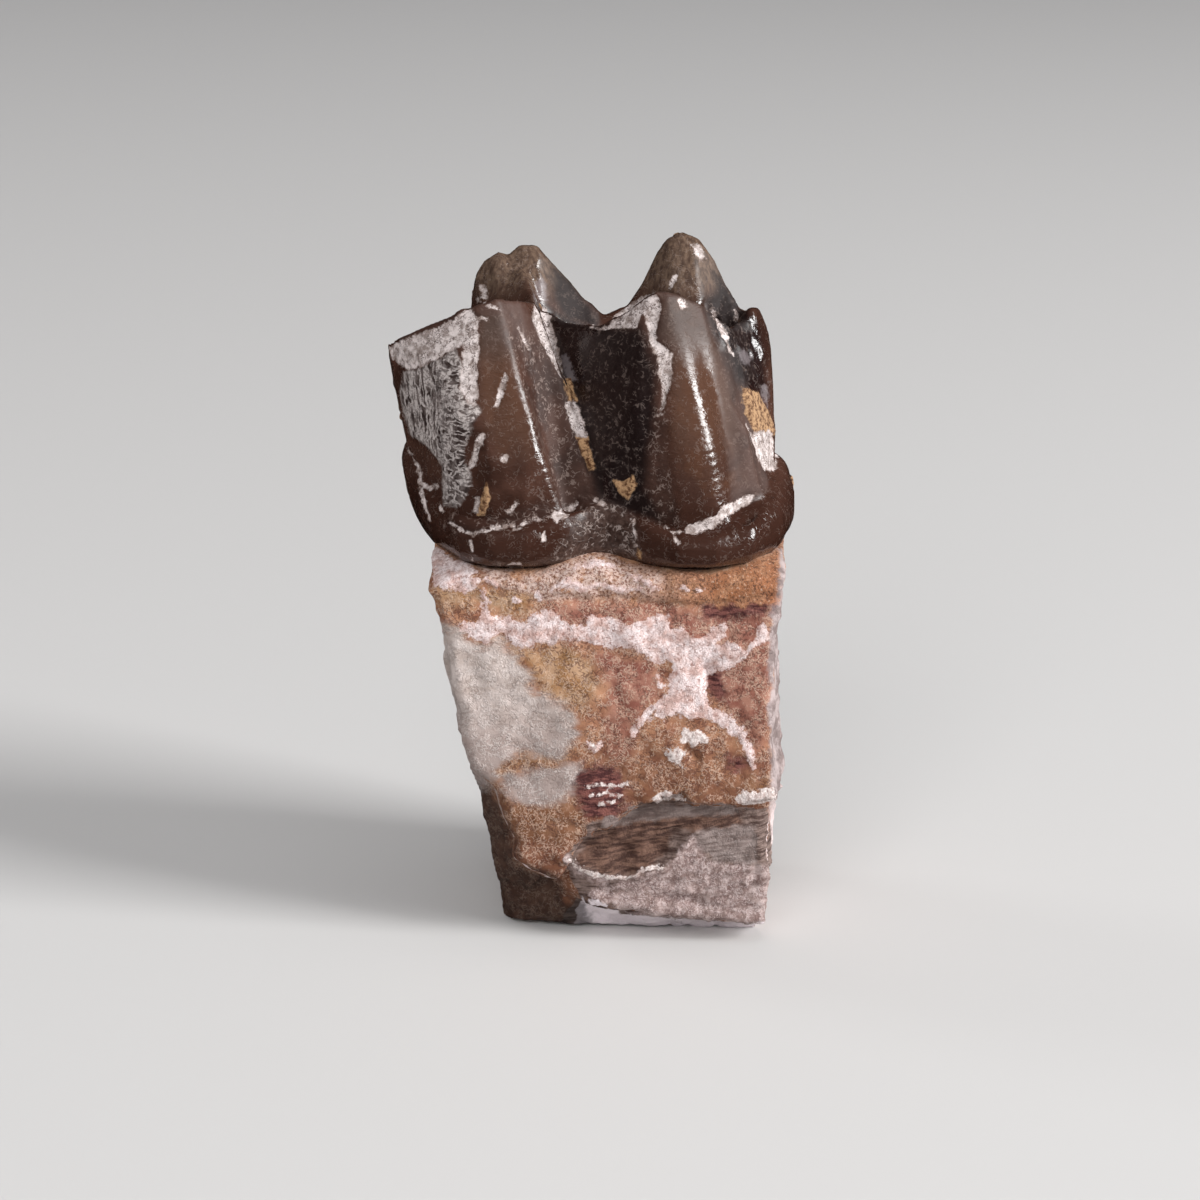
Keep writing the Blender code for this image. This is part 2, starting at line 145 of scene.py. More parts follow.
# The crown's outline in plan at its foot, without the collar, and how steeply its wall may rise.
FOOT_OUTLINE = (
    (-6.8, 1.2), (-6.95, 0.0), (-6.85, -1.2), (-6.3, -2.6), (-5.75, -3.6), (-5.2, -4.6),
    (-4.1, -5.25), (-2.6, -5.35), (-1.1, -4.85), (-0.2, -4.4), (0.6, -4.25), (1.4, -4.45), (2.3, -4.95),
    (3.5, -5.4), (4.9, -5.4), (6.3, -4.7), (7.3, -3.2), (7.75, -1.1), (7.7, 1.2), (7.0, 3.4),
    (5.6, 4.9), (3.6, 5.5), (1.7, 5.2), (0.2, 4.7), (-1.3, 5.1), (-3.0, 5.4), (-4.9, 4.9),
    (-6.2, 3.3),
)
WALL_SLOPE = 40.0
SHELF_SLOPE = 1.2  # how steeply the collar's top falls inwards to the groove behind it
# The collar's upper edge round the crown: (x, y, z, how far the collar stands out there).
COLLAR = (
    (-6.9, 1.3, 19.4, 0.25), (-7.1, -0.9, 20.6, 0.30), (-6.8, -2.6, 19.4, 0.40),
    (-5.6, -4.6, 18.5, 0.50), (-3.9, -5.4, 18.35, 0.55), (-2.0, -5.2, 18.5, 0.50),
    (-0.6, -4.6, 18.9, 0.40), (0.6, -4.2, 19.0, 0.35), (1.9, -4.8, 18.5, 0.45),
    (3.5, -5.4, 17.95, 0.60), (5.2, -5.3, 18.05, 0.65), (6.6, -4.2, 18.6, 0.75),
    (7.5, -2.2, 19.3, 0.80), (7.7, 0.0, 19.9, 0.75), (7.2, 2.8, 18.8, 0.35),
    (5.6, 4.8, 17.9, 0.15), (2.0, 5.3, 17.6, 0.10), (-3.0, 5.4, 17.6, 0.10),
    (-5.9, 3.7, 18.2, 0.15),
)
ROLL_FULLNESS, ROLL_STEEPNESS = 2.5, 0.6  # the collar's section, from its foot to its upper edge
NECK = 0.25  # how far the foot draws in under the collar
BURIED_INSET = 0.9  # how much further it draws in where it is buried
BURIED_FROM = CROWN_FOOT + 0.1
# The contact face against the next tooth leans out as it rises.
FLARE = 0.27
FLARE_FROM, FLARE_FULL = -4.3, -7.3  # x where the lean begins, and where it is whole

# Outlines of the bone in x and z, from the top left corner down the left side, along the base and
# up the right side. The cheek face is bitten away below; the tongue side reaches the ground.
CHEEK_OUTLINE = (
    (-6.70, 16.8), (-6.50, 15.4), (-6.15, 13.8), (-5.75, 11.7), (-5.30, 10.1), (-5.45, 9.0),
    (-5.10, 7.95), (-3.90, 6.85), (-3.50, 5.7), (-3.10, 4.5), (-3.25, 3.8), (-2.55, 3.35),
    (-1.40, 2.85), (-0.90, 2.25), (0.35, 1.75), (2.85, 1.3), (5.2, 1.0), (7.3, 0.8),
    (7.55, 2.85), (7.25, 4.2), (7.42, 5.75), (7.70, 6.4), (7.45, 9.0), (7.50, 10.8),
    (7.45, 13.0), (7.85, 16.8),
)
TONGUE_OUTLINE = (
    (-6.50, 16.8), (-6.45, 15.2), (-6.30, 13.4), (-6.15, 11.4), (-5.85, 9.8), (-5.60, 8.3),
    (-5.30, 7.1), (-4.95, 6.0), (-4.80, 4.9), (-4.60, 3.9), (-4.50, 3.0), (-4.40, 1.9),
    (-4.30, 0.9), (-4.10, -0.4), (-1.90, -0.4), (1.20, -0.4), (4.20, -0.4), (6.90, -0.4),
    (7.55, 1.9), (7.75, 3.9), (7.90, 5.6), (8.00, 7.3), (8.05, 9.2), (8.00, 11.0),
    (7.85, 13.2), (8.00, 16.8),
)
# Depth of each station through the bone, how far its outline has turned from the cheek's into the
# tongue side's, and how far its ends and its underside are drawn in from the full outline.
STATIONS = (
    (-5.60, 0.00, 0.30), (-5.35, 0.03, 0.00), (-4.60, 0.15, 0.00), (-3.70, 0.75, 0.00),
    (-2.30, 0.90, 0.00), (0.00, 0.97, 0.00), (1.80, 1.00, 0.10), (3.40, 1.00, 0.35),
    (4.50, 1.00, 0.85), (5.25, 1.00, 1.60), (5.70, 1.00, 2.60),
)
BONE_MIDDLE = (1.0, 8.0)  # x and z that the stations are drawn in towards
# Where the outer layer of the cheek face has flaked off: the upper edge of the scar, (x, z).
SCAR_EDGE = (
    (-2.6, 2.2), (-1.2, 3.2), (-0.7, 4.3), (0.1, 5.1), (1.2, 5.6), (2.4, 6.4), (3.8, 6.8),
    (4.2, 6.3), (6.2, 6.4), (8.2, 6.5),
)
SCAR_DEPTH = 0.75
SCAR_FADE = 4.5  # height over which the scar runs out again below its edge
SCAR_WANDER = 0.25  # how far its upper edge wanders
STEP_WIDTH = 0.22  # height below its upper edge over which the scar reaches its depth
GRAIN = 0.16  # roughness of the broken bone
GRAIN_SIZE = 2.1
GRAIN_FALL, CLOUD_FALL = 0.9, 0.8  # how fast the finer lumps of grain and of clouds get lower
FINER = 2.0  # how much finer each layer of lumps is than the one before
HOLLOWS = 0.5  # depth of the broad hollows in the ends and the tongue side
HOLLOW_SIZE = 5.5
HOLLOW_FADE = 2.0  # width over which they run out towards the cheek face, the top and the base
HOLLOW_FROM = -3.0  # y where they begin behind the cheek face
CHEEK_FACE = (-2.5, -4.5)  # y where the scar begins, and where it has its whole depth
# Sediment packed against the crown: its upper edge along the crown's foot, (x, y, z), the height
# below which the bone keeps its own form, and how steeply the sediment falls away outwards.
SEDIMENT_TOP = (
    (-6.9, 1.2, 16.9), (-6.6, -2.0, 16.75), (-5.4, -4.5, 16.45), (-3.6, -5.3, 16.25),
    (-2.0, -5.1, 16.3), (-1.0, -4.8, 16.7), (0.0, -4.4, 17.0), (0.9, -4.3, 16.85),
    (2.3, -5.0, 16.45), (4.2, -5.4, 16.25), (5.6, -5.1, 16.35), (6.8, -4.0, 16.6),
    (7.6, -2.0, 16.9), (7.7, 1.2, 16.9), (5.6, 4.9, 16.6), (0.2, 4.7, 16.6), (-4.9, 4.9, 16.6),
)
SEDIMENT_FROM = 14.2
SEDIMENT_FALL = 0.55

# The fineness of the meshes, and the rounds of smoothing that take off their steps.
CROWN_CELL = 0.06
MOLAR_VOXEL = 0.096
BONE_VOXEL = 0.112
EVEN_ROUNDS = 3
# The crown is drawn as a sheet with a margin round its plan. The sheet's lowest height and the
# flat underside that closes it both lie below the buried foot, where the solid is cut off.
SHEET_MARGIN = 1
SHEET_LOWEST = CROWN_FOOT - 2
SHEET_CLOSED = BURIED_FOOT - 1

# Where the tooth's and the bone's marks lie, in the photograph's pixels.
# Chalky chips in the enamel, and a painted glint on the tip of the tongue side's rear cusp.
CHALK_AND_GLINTS = (
    ((389, 345), (419, 333), (442, 325), (459, 314), (468, 306), (478, 318), (478, 340),
     (478, 367), (478, 388), (475, 405), (467, 404), (459, 388), (461, 366), (463, 346),
     (456, 347), (443, 356), (426, 364), (412, 370), (401, 367), (392, 358)),
    ((505, 372), (508, 378), (504, 392), (499, 408), (495, 406), (498, 390), (501, 378)),
    ((534, 306), (541, 304), (548, 311), (553, 327), (560, 355), (564, 379), (560, 377),
     (549, 356), (539, 338), (532, 320)),
    ((565, 403), (575, 401), (583, 420), (588, 438), (576, 437), (569, 420)),
    ((607, 329), (614, 317), (626, 306), (642, 298), (653, 292), (661, 299), (661, 308),
     (657, 321), (656, 339), (664, 346), (672, 353), (671, 377), (667, 395), (661, 418),
     (658, 416), (662, 400), (663, 386), (658, 374), (658, 355), (650, 346), (647, 322),
     (642, 312), (636, 328)),
    ((660, 524), (671, 529), (684, 531), (687, 526), (699, 522), (716, 515), (721, 508),
     (734, 502), (746, 495), (754, 496), (751, 502), (739, 510), (727, 517), (717, 526),
     (710, 530), (696, 534), (684, 534), (671, 532)),
    ((553, 519), (562, 513), (572, 506), (577, 508), (566, 516), (556, 522)),
    ((490, 525), (500, 524), (501, 528), (491, 530)),
    ((512, 527), (521, 526), (522, 530), (513, 531)),
    ((755, 432), (768, 430), (779, 452), (776, 471), (766, 470), (758, 455)),
    ((480, 285), (486, 285), (488, 300), (481, 301)),
    # a painted glint on the rear cusp's tip
    ((690, 243), (700, 246), (706, 258), (700, 261), (694, 252)),
    ((667, 288), (672, 277), (678, 274), (676, 283), (670, 290)),
    ((676, 298), (684, 300), (688, 308), (681, 309)),
    ((476, 497), (480, 497), (478, 512), (473, 512)),
    ((482, 431), (487, 434), (480, 450), (475, 466), (468, 472), (472, 458), (476, 440)),
)
# Thin pale lines of chips and sediment, and a few small painted glints: (pixel column, pixel row, half
# width in pixels).
CHALK_AND_GLINT_LINES = (
    ((448, 522, 1.0), (461, 530, 2.2), (470, 534, 1.4), (484, 531, 1.0), (498, 527, 1.8),
     (509, 526, 0.6), (520, 524, 1.6), (534, 520, 1.2), (544, 518, 0.6), (556, 514, 2.6),
     (567, 509, 2.2), (577, 503, 2.6)),
    ((406, 446, 1.2), (419, 466, 1.8), (422, 484, 1.6), (424, 498, 1.8), (431, 520, 1.2)),
    ((592, 327, 1.4), (601, 329, 1.2), (611, 327, 1.6)),
    ((518, 328, 1.0), (529, 350, 1.4)),
    ((633, 520, 0.8), (634, 534, 1.4), (635, 546, 0.9)),
    ((471, 541, 0.5), (473, 568, 0.8)),
    ((712, 310, 1.2), (722, 328, 2.0), (729, 350, 1.0)),
    ((748, 424, 1.0), (757, 446, 1.4), (767, 470, 1.0)),
    ((471, 295, 0.6), (486, 306, 1.2), (500, 309, 1.0)),
    ((474, 316, 0.8), (488, 319, 1.0)),
    ((503, 458, 3.0), (505, 459, 3.0)),
    ((516, 503, 1.5), (512, 510, 1.8), (507, 512, 1.5)),
    ((543, 535, 2.0), (544, 540, 2.4)),
    ((675, 538, 1.8), (678, 543, 1.8)),
    ((440, 508, 2.2), (442, 510, 2.2)),
    ((426, 487, 2.6), (430, 488, 1.4), (436, 486, 1.6)),
    # painted glints on the collar
    ((596, 500, 2.0), (604, 504, 2.2)),
    # painted glints on the rear lobe
    ((732, 352, 2.4), (734, 354, 2.4)),
    ((735, 310, 1.4), (736, 320, 1.6)),
    ((512, 566, 4.0), (518, 567, 4.5)),
)
NETWORK = (
    ((404, 372), (412, 371), (426, 365), (443, 357), (456, 348), (462, 366), (459, 388),
     (467, 404), (477, 405), (481, 412), (472, 428), (465, 448), (464, 463), (471, 473),
     (472, 485), (465, 499), (457, 508), (444, 506), (441, 490), (442, 467), (438, 460),
     (426, 446), (410, 434), (404, 415), (400, 395)),
)
SPECKS = (
    ((508, 335), (528, 330), (545, 350), (560, 385), (575, 430), (582, 470), (577, 503),
     (556, 508), (548, 470), (532, 425), (517, 388), (510, 360)),
    ((598, 330), (640, 330), (657, 345), (660, 380), (668, 420), (668, 460), (674, 500),
     (684, 526), (650, 522), (615, 500), (600, 470), (590, 440), (585, 400), (580, 360)),
    ((578, 504), (600, 502), (636, 512), (640, 540), (620, 556), (590, 548), (572, 530)),
    ((706, 304), (724, 300), (750, 330), (756, 380), (740, 378), (724, 345)),
    ((448, 512), (480, 520), (545, 500), (560, 512), (520, 528), (470, 540), (445, 530)),
)
# Restless, folded enamel at the rear end of the crown.
FOLDED = (
    ((706, 304), (716, 290), (742, 298), (764, 335), (772, 400), (752, 392), (736, 385), (722, 345)),
)
# Painted shade in the deep valley between the lobes (first outline); the other outlines are darker enamel
# on the rear lobe and on the cusps' flanks.
SHADE_AND_DARK_ENAMEL = (
    ((541, 304), (575, 318), (600, 326), (640, 328), (648, 350), (655, 375), (655, 415),
     (648, 450), (646, 490), (660, 520), (625, 512), (600, 500), (590, 470), (575, 430),
     (562, 375), (551, 330)),
    ((706, 300), (718, 290), (742, 300), (762, 330), (770, 400), (748, 390), (736, 380),
     (725, 350), (712, 325)),
    ((552, 262), (572, 280), (600, 318), (598, 328), (566, 322), (554, 300)),
    ((714, 272), (724, 276), (744, 312), (716, 306)),
)
TAUPE = (
    ((408, 440), (424, 448), (438, 466), (442, 492), (432, 502), (424, 484), (416, 462)),
    ((479, 316), (503, 316), (509, 345), (519, 388), (531, 430), (537, 462), (505, 470),
     (488, 430), (480, 400), (478, 360)),
    ((662, 300), (690, 296), (702, 315), (717, 345), (730, 390), (737, 430), (742, 480),
     (715, 500), (692, 505), (676, 480), (672, 430), (672, 380), (673, 352), (660, 330)),
)
OCHRE = (
    ((741, 386), (758, 392), (768, 411), (777, 433), (770, 437), (761, 441), (753, 428), (745, 407)),
    ((563, 379), (571, 378), (578, 402), (568, 403)),
    ((575, 436), (588, 437), (596, 470), (590, 471), (582, 455)),
    ((611, 478), (622, 482), (633, 475), (638, 484), (629, 499), (618, 492)),
    ((487, 482), (490, 497), (486, 515), (477, 516), (481, 498)),
    ((637, 546), (642, 553), (641, 562), (636, 556)),
)
# Painted glints and reflections on a cusp tip and the rear lobe, and a faint blue-grey mineral in the
# valley (second outline), mixed into the enamel as pale grey.
PAINTED_GLINTS_AND_MINERAL = (
    ((535, 283), (541, 277), (547, 284), (546, 300), (539, 303), (537, 292)),
    ((561, 356), (567, 354), (572, 366), (577, 381), (569, 380), (564, 370)),
    ((739, 352), (744, 350), (752, 357), (748, 365), (742, 363)),
    ((760, 386), (766, 384), (769, 396), (767, 407), (762, 400)),
)
# Enamel with less gloss than the rest.
SATIN = (
    ((532, 318), (552, 322), (566, 360), (584, 410), (602, 470), (602, 500), (560, 508), (552, 460),
     (540, 415)),
    ((712, 350), (738, 350), (768, 460), (768, 492), (752, 502), (732, 502), (728, 460), (722, 420)),
    ((541, 258), (570, 262), (600, 316), (600, 326), (562, 326), (545, 305)),
    ((694, 258), (716, 250), (750, 330), (712, 330), (704, 300)),
)
# Enamel that is worn grey and grainy: along the crown's foot and in the middle of the collar.
FROSTED = (
    ((430, 542), (440, 549), (460, 556), (487, 565), (513, 570), (541, 566), (556, 552),
     (572, 528), (584, 508), (602, 502), (622, 506), (637, 524), (642, 548), (636, 566),
     (600, 560), (583, 560), (562, 570), (541, 580), (513, 582), (487, 577), (459, 566), (430, 556)),
)

CRUST = (
    ((459, 627), (465, 622), (477, 622), (486, 615), (504, 616), (514, 620), (530, 618),
     (535, 613), (548, 609), (555, 613), (567, 622), (577, 625), (584, 623), (587, 615),
     (599, 616), (613, 619), (628, 625), (642, 622), (656, 616), (659, 610), (668, 616),
     (671, 627), (682, 628), (689, 634), (702, 638), (711, 628), (722, 623), (728, 627),
     (724, 637), (717, 646), (728, 641), (736, 643), (744, 651), (750, 642), (758, 634),
     (757, 623), (768, 622), (767, 639), (753, 648), (740, 662), (728, 669), (715, 670),
     (707, 680), (706, 703), (718, 710), (732, 718), (741, 730), (736, 738),
     (726, 730), (714, 722), (702, 716), (688, 720), (676, 714), (664, 720),
     (652, 718), (656, 706), (664, 698), (668, 690),
     (670, 674), (671, 662), (655, 665), (645, 655), (632, 648), (613, 648), (600, 646),
     (586, 642), (573, 638), (558, 642), (553, 650), (547, 642), (535, 645), (519, 646),
     (509, 642), (502, 633), (491, 636), (485, 644), (476, 641), (468, 637)),
    ((429, 543), (446, 553), (462, 562), (478, 572), (470, 580), (480, 586), (466, 594),
     (455, 588), (434, 586)),
)
# Thin tongues and beads of the crust: (pixel column, pixel row, half width in pixels).
CRUST_LINES = (
    ((483, 590, 2.5), (486, 602, 3.5), (484, 618, 4.0)),
    ((470, 582, 3.0), (486, 580, 2.0), (497, 585, 2.5)),
    ((537, 596, 5.0), (538, 598, 4.0)),
    ((514, 600, 2.5), (518, 601, 2.0)),
    ((552, 589, 2.0), (566, 582, 4.0), (584, 588, 3.5), (600, 584, 2.0), (618, 590, 3.0), (640, 588, 1.5)),
    ((575, 568, 1.5), (596, 563, 3.0), (614, 566, 2.0)),
    ((630, 575, 1.5), (646, 582, 3.0), (660, 590, 1.5)),
    ((684, 588, 2.5), (688, 590, 2.0)),
    ((699, 590, 2.2), (702, 591, 2.0)),
    ((632, 736, 2.5), (640, 722, 3.5), (654, 708, 4.0)),
    ((740, 730, 4.0), (748, 748, 4.0), (754, 768, 2.5)),
    ((588, 742, 2.0), (594, 750, 3.0), (600, 744, 1.5)),
    ((656, 676, 2.0), (662, 690, 2.5)),
)
GREY_WHITE = (
    ((420, 615), (462, 630), (485, 646), (500, 640), (512, 654), (525, 667), (536, 690),
     (556, 702), (572, 716), (584, 736), (572, 750), (556, 757), (520, 752), (502, 764),
     (490, 790), (468, 795), (450, 760), (430, 700), (415, 640)),
    ((506, 775), (540, 768), (575, 760), (588, 775), (566, 800), (540, 806), (512, 803), (498, 790)),
)
YELLOW = (
    ((436, 585), (480, 588), (500, 590), (536, 592), (530, 610), (500, 613), (480, 602),
     (450, 606), (434, 604)),
    ((512, 650), (560, 645), (592, 658), (596, 690), (580, 712), (556, 702), (534, 680)),
    ((501, 755), (530, 748), (570, 752), (576, 766), (540, 770), (508, 776), (486, 790), (476, 782)),
    ((504, 800), (540, 806), (566, 800), (580, 800), (582, 830), (570, 850), (530, 842), (508, 825)),
    ((750, 685), (771, 688), (772, 712), (752, 706)),
    ((748, 775), (776, 778), (776, 797), (752, 796)),
    ((650, 570), (700, 575), (772, 560), (775, 590), (740, 604), (700, 606), (660, 600)),
)
RUST = (
    ((548, 603), (590, 600), (640, 606), (700, 608), (770, 600), (775, 690), (760, 780),
     (720, 700), (706, 660), (640, 650), (600, 646), (560, 640), (545, 620)),
    ((590, 648), (655, 664), (668, 690), (640, 720), (632, 760), (606, 770), (600, 730),
     (610, 690)),
    ((512, 842), (545, 840), (575, 846), (562, 862), (560, 882), (530, 868), (512, 856)),
)
MAROON = (
    ((574, 772), (590, 764), (616, 766), (628, 788), (624, 812), (600, 822), (584, 818), (578, 800)),
    ((726, 757), (748, 757), (752, 772), (732, 771)),
    ((697, 604), (735, 604), (770, 596), (772, 612), (735, 618), (705, 620)),
    ((700, 664), (722, 672), (728, 700), (708, 696)),
)
SAND = (
    ((474, 562), (513, 571), (541, 570), (562, 561), (583, 549), (600, 549), (626, 561),
     (664, 570), (699, 573), (727, 572), (748, 563), (780, 550), (778, 604), (740, 606),
     (700, 606), (650, 602), (600, 600), (550, 602), (520, 592), (490, 584)),
)
DUSTED = (
    ((484, 566), (520, 580), (560, 566), (584, 552), (606, 552), (640, 572), (665, 580),
     (650, 594), (600, 596), (560, 600), (520, 594), (490, 586)),
)
SCAR = (
    ((562, 860), (575, 846), (587, 836), (589, 821), (606, 817), (621, 817), (634, 804),
     (653, 801), (684, 800), (698, 804), (726, 803), (735, 806), (768, 807), (785, 940),
     (545, 940), (580, 895)),
)
SCAR_PINK = (
    ((693, 832), (702, 848), (712, 862), (750, 864), (775, 868), (775, 930), (640, 916),
     (588, 894), (620, 880), (662, 868), (680, 850)),
    ((563, 856), (594, 873), (628, 878), (600, 886), (570, 872)),
)
SCAR_GREY = (
    ((697, 828), (756, 826), (758, 864), (715, 862), (702, 846)),
    ((630, 806), (740, 806), (740, 814), (640, 820), (600, 830), (600, 818)),
)
SIDE = (
    ((770, 616), (768, 668), (770, 693), (766, 716), (772, 731), (770, 808), (762, 829),
     (764, 855), (762, 888), (764, 930), (820, 930), (820, 540), (779, 548)),
)
# Painted shade: the low back of the bone on the left, behind the broken front edge, dimmed to a dark
# brown-grey.
PAINTED_SHADE_BEHIND = (
    ((440, 735), (468, 770), (479, 783), (493, 794), (501, 802), (504, 816), (511, 832),
     (515, 842), (514, 854), (520, 864), (535, 871), (551, 874), (558, 882), (564, 896),
     (586, 903), (600, 950), (430, 950)),
)
UMBER = (
    ((600, 820), (640, 812), (672, 820), (668, 850), (640, 874), (600, 874), (572, 862), (590, 838)),
    ((584, 898), (612, 886), (650, 888), (700, 900), (690, 912), (640, 906), (600, 904)),
    ((628, 806), (700, 808), (742, 812), (740, 830), (690, 832), (640, 826)),
)
FLAKES = (
    ((680, 734), (684, 728), (692, 730), (696, 726), (702, 733), (711, 738), (706, 745),
     (698, 743), (693, 749), (688, 742), (682, 743)),
    ((664, 752), (672, 748), (680, 750), (688, 754), (682, 758), (678, 765), (671, 761)),
    ((650, 799), (658, 794), (668, 791), (680, 795), (686, 801), (676, 799), (668, 797), (658, 803)),
    ((735, 798), (744, 789), (756, 793), (774, 788), (776, 800), (760, 803), (745, 806)),
)
FLAKE_LINES = (
    ((586, 787, 0.8), (600, 784, 1.8), (614, 786, 1.0), (628, 784, 1.6)),
    ((590, 796, 1.4), (606, 793, 1.0), (622, 797, 1.8)),
    ((600, 804, 1.2), (614, 802, 1.6)),
    ((640, 870, 2.0), (656, 866, 2.6), (664, 868, 1.2)),
    ((568, 858, 1.6), (594, 874, 2.4), (628, 877, 1.8), (640, 873, 0.8)),
    ((590, 742, 1.0), (596, 750, 2.0)),
    ((678, 762, 1.6), (684, 768, 1.0)),
)
# Painted highlight: a near-white strip along the bone's bottom edge.
PAINTED_HIGHLIGHT_EDGE = (
    ((582, 897), (640, 915), (675, 918), (765, 921), (765, 940), (570, 940)),
)

# Where the crown's crests are worn round, in pixels: (outline, how strongly).
WORN = (
    (((664, 345), (700, 330), (716, 430), (726, 500), (700, 512), (668, 470)), 0.6),
    (((690, 410), (716, 410), (736, 460), (742, 506), (706, 512), (696, 460)), 1.0),
    (((698, 345), (730, 345), (752, 420), (758, 490), (740, 506), (716, 506), (706, 430)), 0.5),
    (((492, 318), (522, 318), (540, 400), (548, 450), (556, 505), (535, 505), (505, 420)), 0.3),
    (((520, 425), (545, 425), (562, 465), (575, 505), (540, 508), (528, 465)), 0.65),
    (((530, 330), (550, 330), (575, 380), (596, 440), (602, 480), (590, 505), (560, 508),
      (552, 450), (538, 400)), 0.6),
)
WORN_EDGE = 10  # width in pixels over which the wear begins
WORN_SIDE = (-1.0, -2.0)  # y where it begins on the cheek side, and where it is whole
WEAR_ROUNDS = 190
# The tongue side's wall is smoothed as well: how strongly, and from which y and below which z.
WALL_WEAR = 0.8
SMOOTH_WALL = (1.0, 2.5)
SMOOTH_BELOW = (25.0, 23.0)

# Ridges (+) and creases (-) that are too fine for the solids: height, then
# (pixel column, pixel row, half width in pixels).
CROWN_LINES = (
    (0.08, ((408, 443, 4), (419, 466, 5), (422, 484, 5), (424, 498, 5), (431, 521, 4))),
    (-0.07, ((411, 440, 4), (426, 450, 4), (438, 468, 4), (440, 492, 4))),
    (-0.06, ((440, 517, 4), (450, 523, 4), (470, 533, 4), (498, 528, 4), (520, 524, 4),
             (553, 516, 4), (576, 502, 4))),
    (-0.08, ((706, 304, 5), (720, 346, 6), (729, 388, 6), (748, 423, 5))),
    (-0.08, ((736, 400, 5), (755, 431, 5), (764, 459, 5), (768, 470, 4))),
    (0.06, ((712, 310, 4), (722, 327, 5), (729, 349, 4))),
    (0.07, ((720, 532, 6), (733, 521, 8), (750, 510, 6))),
    (-0.05, ((636, 516, 3), (633, 533, 3), (635, 547, 3), (640, 560, 3))),
    (-0.05, ((541, 266, 4), (548, 277, 4), (555, 287, 4))),
    (-0.05, ((717, 528, 4), (727, 519, 4), (748, 505, 4), (758, 495, 4))),
)
BONE_LINES = (
    (-0.14, ((536, 603, 3), (552, 598, 4), (592, 600, 4), (618, 597, 4), (650, 604, 4),
             (700, 607, 4), (752, 600, 4), (774, 596, 5))),
    (-0.10, ((540, 818, 3), (556, 824, 4), (582, 828, 3))),
    (-0.12, ((622, 818, 4), (660, 806, 4), (700, 809, 4), (760, 812, 4))),
    (0.22, ((560, 857, 5), (594, 872, 6), (628, 876, 7), (660, 867, 7), (680, 850, 7), (696, 832, 6))),
    (-0.16, ((585, 846, 6), (620, 852, 8), (650, 846, 7), (676, 832, 5))),
    (0.12, ((694, 830, 5), (720, 826, 5), (752, 828, 4))),
    (-0.10, ((752, 832, 4), (757, 860, 4), (752, 884, 4))),
    (0.14, ((588, 900, 4), (636, 910, 5), (700, 914, 5), (762, 919, 4))),
    (-0.14, ((600, 890, 5), (650, 896, 5), (700, 902, 4))),
    (-0.22, ((688, 751, 5), (696, 757, 5))),
    (-0.16, ((706, 668, 4), (708, 676, 4))),
    (0.10, ((459, 716, 5), (458, 734, 5))),
)
# Growth lines across the lobes' ridges: how high, and the pixels that they run along.
GROWTH_LINES = (
    (0.012, ((694, 396), (705, 425), (719, 460), (726, 500))),
    (0.008, ((514, 372), (526, 410), (541, 450), (560, 492))),
)
GROWTH_PERIOD = 0.34
GROWTH_SLANT = 0.25  # how much they rise to the right
GROWTH_REACH = (26, 6)  # pixels from the middle of the ridge where they begin, and where they are whole
GROWTH_START = 15  # pixels above and below the top of their stretch over which they begin

# Heights and depths of the crown's relief.
ENAMEL_WAVES, ENAMEL_GRAIN = 0.010, 0.004
NETWORK_HEIGHT, SPECK_HEIGHT = 0.030, 0.008
UNSEEN_WAVES = 0.05  # on the sides that the photograph doesn't show
FOLD_HEIGHT = 0.09
CHIP_DEPTH = 0.05
EARTH_HEIGHT = 0.09

# Heights and depths of the bone's relief.
BONE_GRIT, BONE_WAVES = 0.030, 0.05
CRUST_HEIGHT, CRUST_LUMPS = 0.06, 0.05
FLAKE_HEIGHT = 0.07
SAND_GRAIN = 0.04
SCAR_LAYERS = 0.10
# The broken ends and the tongue side: how high one step is, how many levels the clouds give, how
# wide they lie, the share of a level that is a slope, and the depth of chips on them.
BREAK_STEP = 0.12
BREAK_LEVELS = 3.2
BREAK_SIZE = 3.4
BREAK_SLOPE = 0.3
BREAK_CHIPS = 0.10
BREAK_FROM = (-4.6, -3.4)  # y where they begin behind the cheek face, and where they are whole
BREAK_BELOW = (16.0, 14.5)  # z where they begin below the tooth, and where they are whole

CROWN_GROUPS = {
    "chalk": CHALK_AND_GLINTS, "network": NETWORK, "specks": SPECKS, "dark": SHADE_AND_DARK_ENAMEL, "taupe": TAUPE,
    "ochre": OCHRE, "painted_glints_and_mineral": PAINTED_GLINTS_AND_MINERAL, "frosted": FROSTED, "folded": FOLDED, "satin": SATIN,
}
BONE_GROUPS = {
    "crust": CRUST, "grey_white": GREY_WHITE, "yellow": YELLOW, "rust": RUST, "maroon": MAROON,
    "sand": SAND, "scar": SCAR, "scar_pink": SCAR_PINK, "scar_grey": SCAR_GREY, "side": SIDE,
    "painted_highlight_edge": PAINTED_HIGHLIGHT_EDGE, "behind": PAINTED_SHADE_BEHIND, "umber": UMBER, "flakes": FLAKES,
    "dusted": DUSTED,
}

